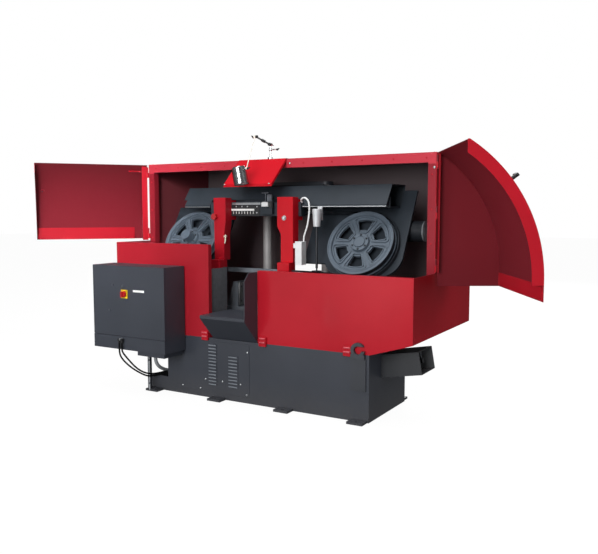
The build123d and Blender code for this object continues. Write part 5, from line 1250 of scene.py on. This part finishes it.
@dataclass
class ViseTrim:
    """Hardened face plates on the two vise jaws, each held by four screws let into it, in millimetres."""

    fixed_x: float = 22.0
    moving_x: float = -455.0
    thickness: float = 8.0
    depth: tuple = (70, 322)
    height: tuple = (700, 896)
    screws_y: tuple = (105, 287)
    screws_z: tuple = (735, 861)

    def build(self) -> None:
        """Makes both plates and their screws."""
        (front, back), (bottom, top) = self.depth, self.height
        for body, x, way in (("base", self.fixed_x, LEFT), ("vise_jaw", self.moving_x, RIGHT)):
            left, right = sorted((x, x + way[0] * self.thickness))
            plate = Piece.block(body + "_jaw_plate", (left, front, bottom), (right, back, top))
            plate.soften(width=1.5).inset(facing(way), margin=6, depth=-0.4).carry(body, GROUND_STEEL)
            places = [seat((x, y, z), way) for y in self.screws_y for z in self.screws_z]
            Fastener(Head.SOCKET, 16, BLACK_SCREW).set_out(body + "_jaw_screws", body, places)


@dataclass
class HoodTrim:
    """Small sheets inside the hood doors, in each shut door's own axes at its hinge, in millimetres."""

    left_hinge: tuple = (-1475, 75)
    right_hinge: tuple = (1317, 75)
    left_open_deg: float = 130.0
    right_open_deg: float = 120.0
    bracket: tuple = ((52, -74, 1875), (165, -58, 1888))
    hem: tuple = ((-950, -467.6, 961), (-6, -464, 1062))

    def build(self) -> None:
        """Makes the left door's stay bracket and the right door's lower hem, and swings them open."""
        bar = Piece.block("hood_stay_bracket", *self.bracket).soften(width=2)
        bar.inset(facing(REAR), margin=3, depth=-2)
        bar.spread([self.opened(self.left_hinge, -self.left_open_deg)]).carry("left_hood", RED_COAT)
        # The hem keeps the plain bright coat inside the darkened door: painted light on the lit lower edge
        # of the skin
        strip = Piece.block("hood_lower_hem", *self.hem).soften(width=1)
        strip.inset(facing(REAR), margin=8, depth=-0.6)
        strip.spread([self.opened(self.right_hinge, self.right_open_deg)]).carry("right_hood", RED_COAT)

    def opened(self, hinge: Point, turn_deg: float) -> Matrix:
        """Place of an open door's axes at its hinge."""
        return shift(*hinge, 0) @ Matrix.Rotation(math.radians(turn_deg), 4, "Z")


@dataclass
class EnclosureTrim:
    """Screws of the red sheets, edging of the rear opening and the grey splash plate, in millimetres."""

    hood_slope: tuple = (0, -211.5, 228)
    hood_screws: tuple = ((-430.8, -152.9, 1730.4), (4.3, -152.9, 1730.4))
    hood_sheet: float = 1.0
    frame_rows: tuple = (
        Row((-1380, 83, 1903), (1230, 83, 1903), 11),
        Row((1275, 83, 760), (1275, 83, 1780), 5),
        Row((-1434, 83, 760), (-1434, 83, 1780), 5))
    bright_screws: tuple = ((56, 83, 1903), (1291, 83, 1832))
    rear_rows: tuple = (
        Row((-1440, 980, 610), (-1440, 980, 1915), 8),
        Row((1282, 980, 610), (1282, 980, 1915), 8),
        Row((-1300, 980, 1915), (1140, 980, 1915), 11))
    edging_centre: tuple = (-216.5, 980, 880)
    edging_size: tuple = (513, 456)
    right_rows: tuple = (
        Row((1309, 955, 640), (1309, 955, 1910), 7),
        Row((1309, -320, 620), (1309, 920, 600), 7))
    left_rows: tuple = (
        Row((-1467, 955, 640), (-1467, 955, 1910), 7),
        Row((-1467, -320, 620), (-1467, 920, 600), 7))
    roof_rows: tuple = (
        Row((-1440, 110, 1942), (-1440, 955, 1942), 5),
        Row((1282, 110, 1942), (1282, 955, 1942), 5))
    splash: tuple = ((-472, -346, 575), (-468, -78, 1040))
    splash_row: Row = Row((-468, -335, 620), (-468, -335, 1000), 4)

    def build(self) -> None:
        """Sets out the sheet fasteners, the edging and the splash plate."""
        slope = Vector(self.hood_slope).normalized()
        places = [seat(Vector(spot) + slope * self.hood_sheet, slope) for spot in self.hood_screws]
        Fastener(Head.PAN, 14).set_out("centre_hood_screws", "base", places)
        red_screw = Fastener(Head.PAN, 13, RED_COAT)
        red_screw.set_out("door_frame_screws", "base", self.seats(self.frame_rows, FRONT))
        bright = [seat(spot, FRONT) for spot in self.bright_screws]
        Fastener(Head.PAN, 17).set_out("bright_frame_screws", "base", bright)
        Fastener(Head.PAN, 13).set_out("rear_sheet_screws", "base", self.seats(self.rear_rows, REAR))
        edging = Piece.border("infeed_edging", self.edging_size, width=26, thickness=4, corner=12)
        edging.spread([seat(self.edging_centre, REAR)]).carry("base", BLACK_NYLON)
        ends = self.seats(self.right_rows, RIGHT) + self.seats(self.left_rows, LEFT)
        red_screw.set_out("end_sheet_screws", "base", ends)
        red_screw.set_out("roof_screws", "base", self.seats(self.roof_rows, UP))
        self.splash_plate()

    def seats(self, rows: Sequence[Row], normal: Point) -> list[Matrix]:
        """Seats of several rows on one surface."""
        return [place for row in rows for place in row.seats(normal)]

    def splash_plate(self) -> None:
        """Grey sheet along the left side of the discharge window, ahead of the band."""
        plate = Piece.block("splash_plate", *self.splash)
        plate.inset(facing(RIGHT), margin=18, depth=1.5).soften(width=0.8, segments=1)
        plate.carry("base", LIT_SPLASH_GREY)
        places = self.splash_row.seats(RIGHT)
        Fastener(Head.PAN, 11, DULL_ZINC).set_out("splash_screws", "base", places)


def main() -> None:
    """Builds the scene in order and reports each piece."""
    logging.basicConfig(level=logging.INFO, format="%(message)s")
    studio = Studio()
    studio.camera()
    for cord in CORDS:
        cord.build()
    studio.light()
    studio.floor()
    for finish, nodes in NODE_FINISHES.items():
        for name in nodes:
            dress(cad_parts[name], finish)
            LOG.info("dressed %s in %s", name, finish.name)
    BaseTrim().build()
    CabinetTrim().build()
    RailTrim().build()
    WheelTrim("drive_wheel", 710).build()
    WheelTrim("idler_wheel", -960).build()
    LampTrim().build()
    HeadTrim().build()
    ViseTrim().build()
    HoodTrim().build()
    EnclosureTrim().build()


if __name__ == "__main__":
    main()
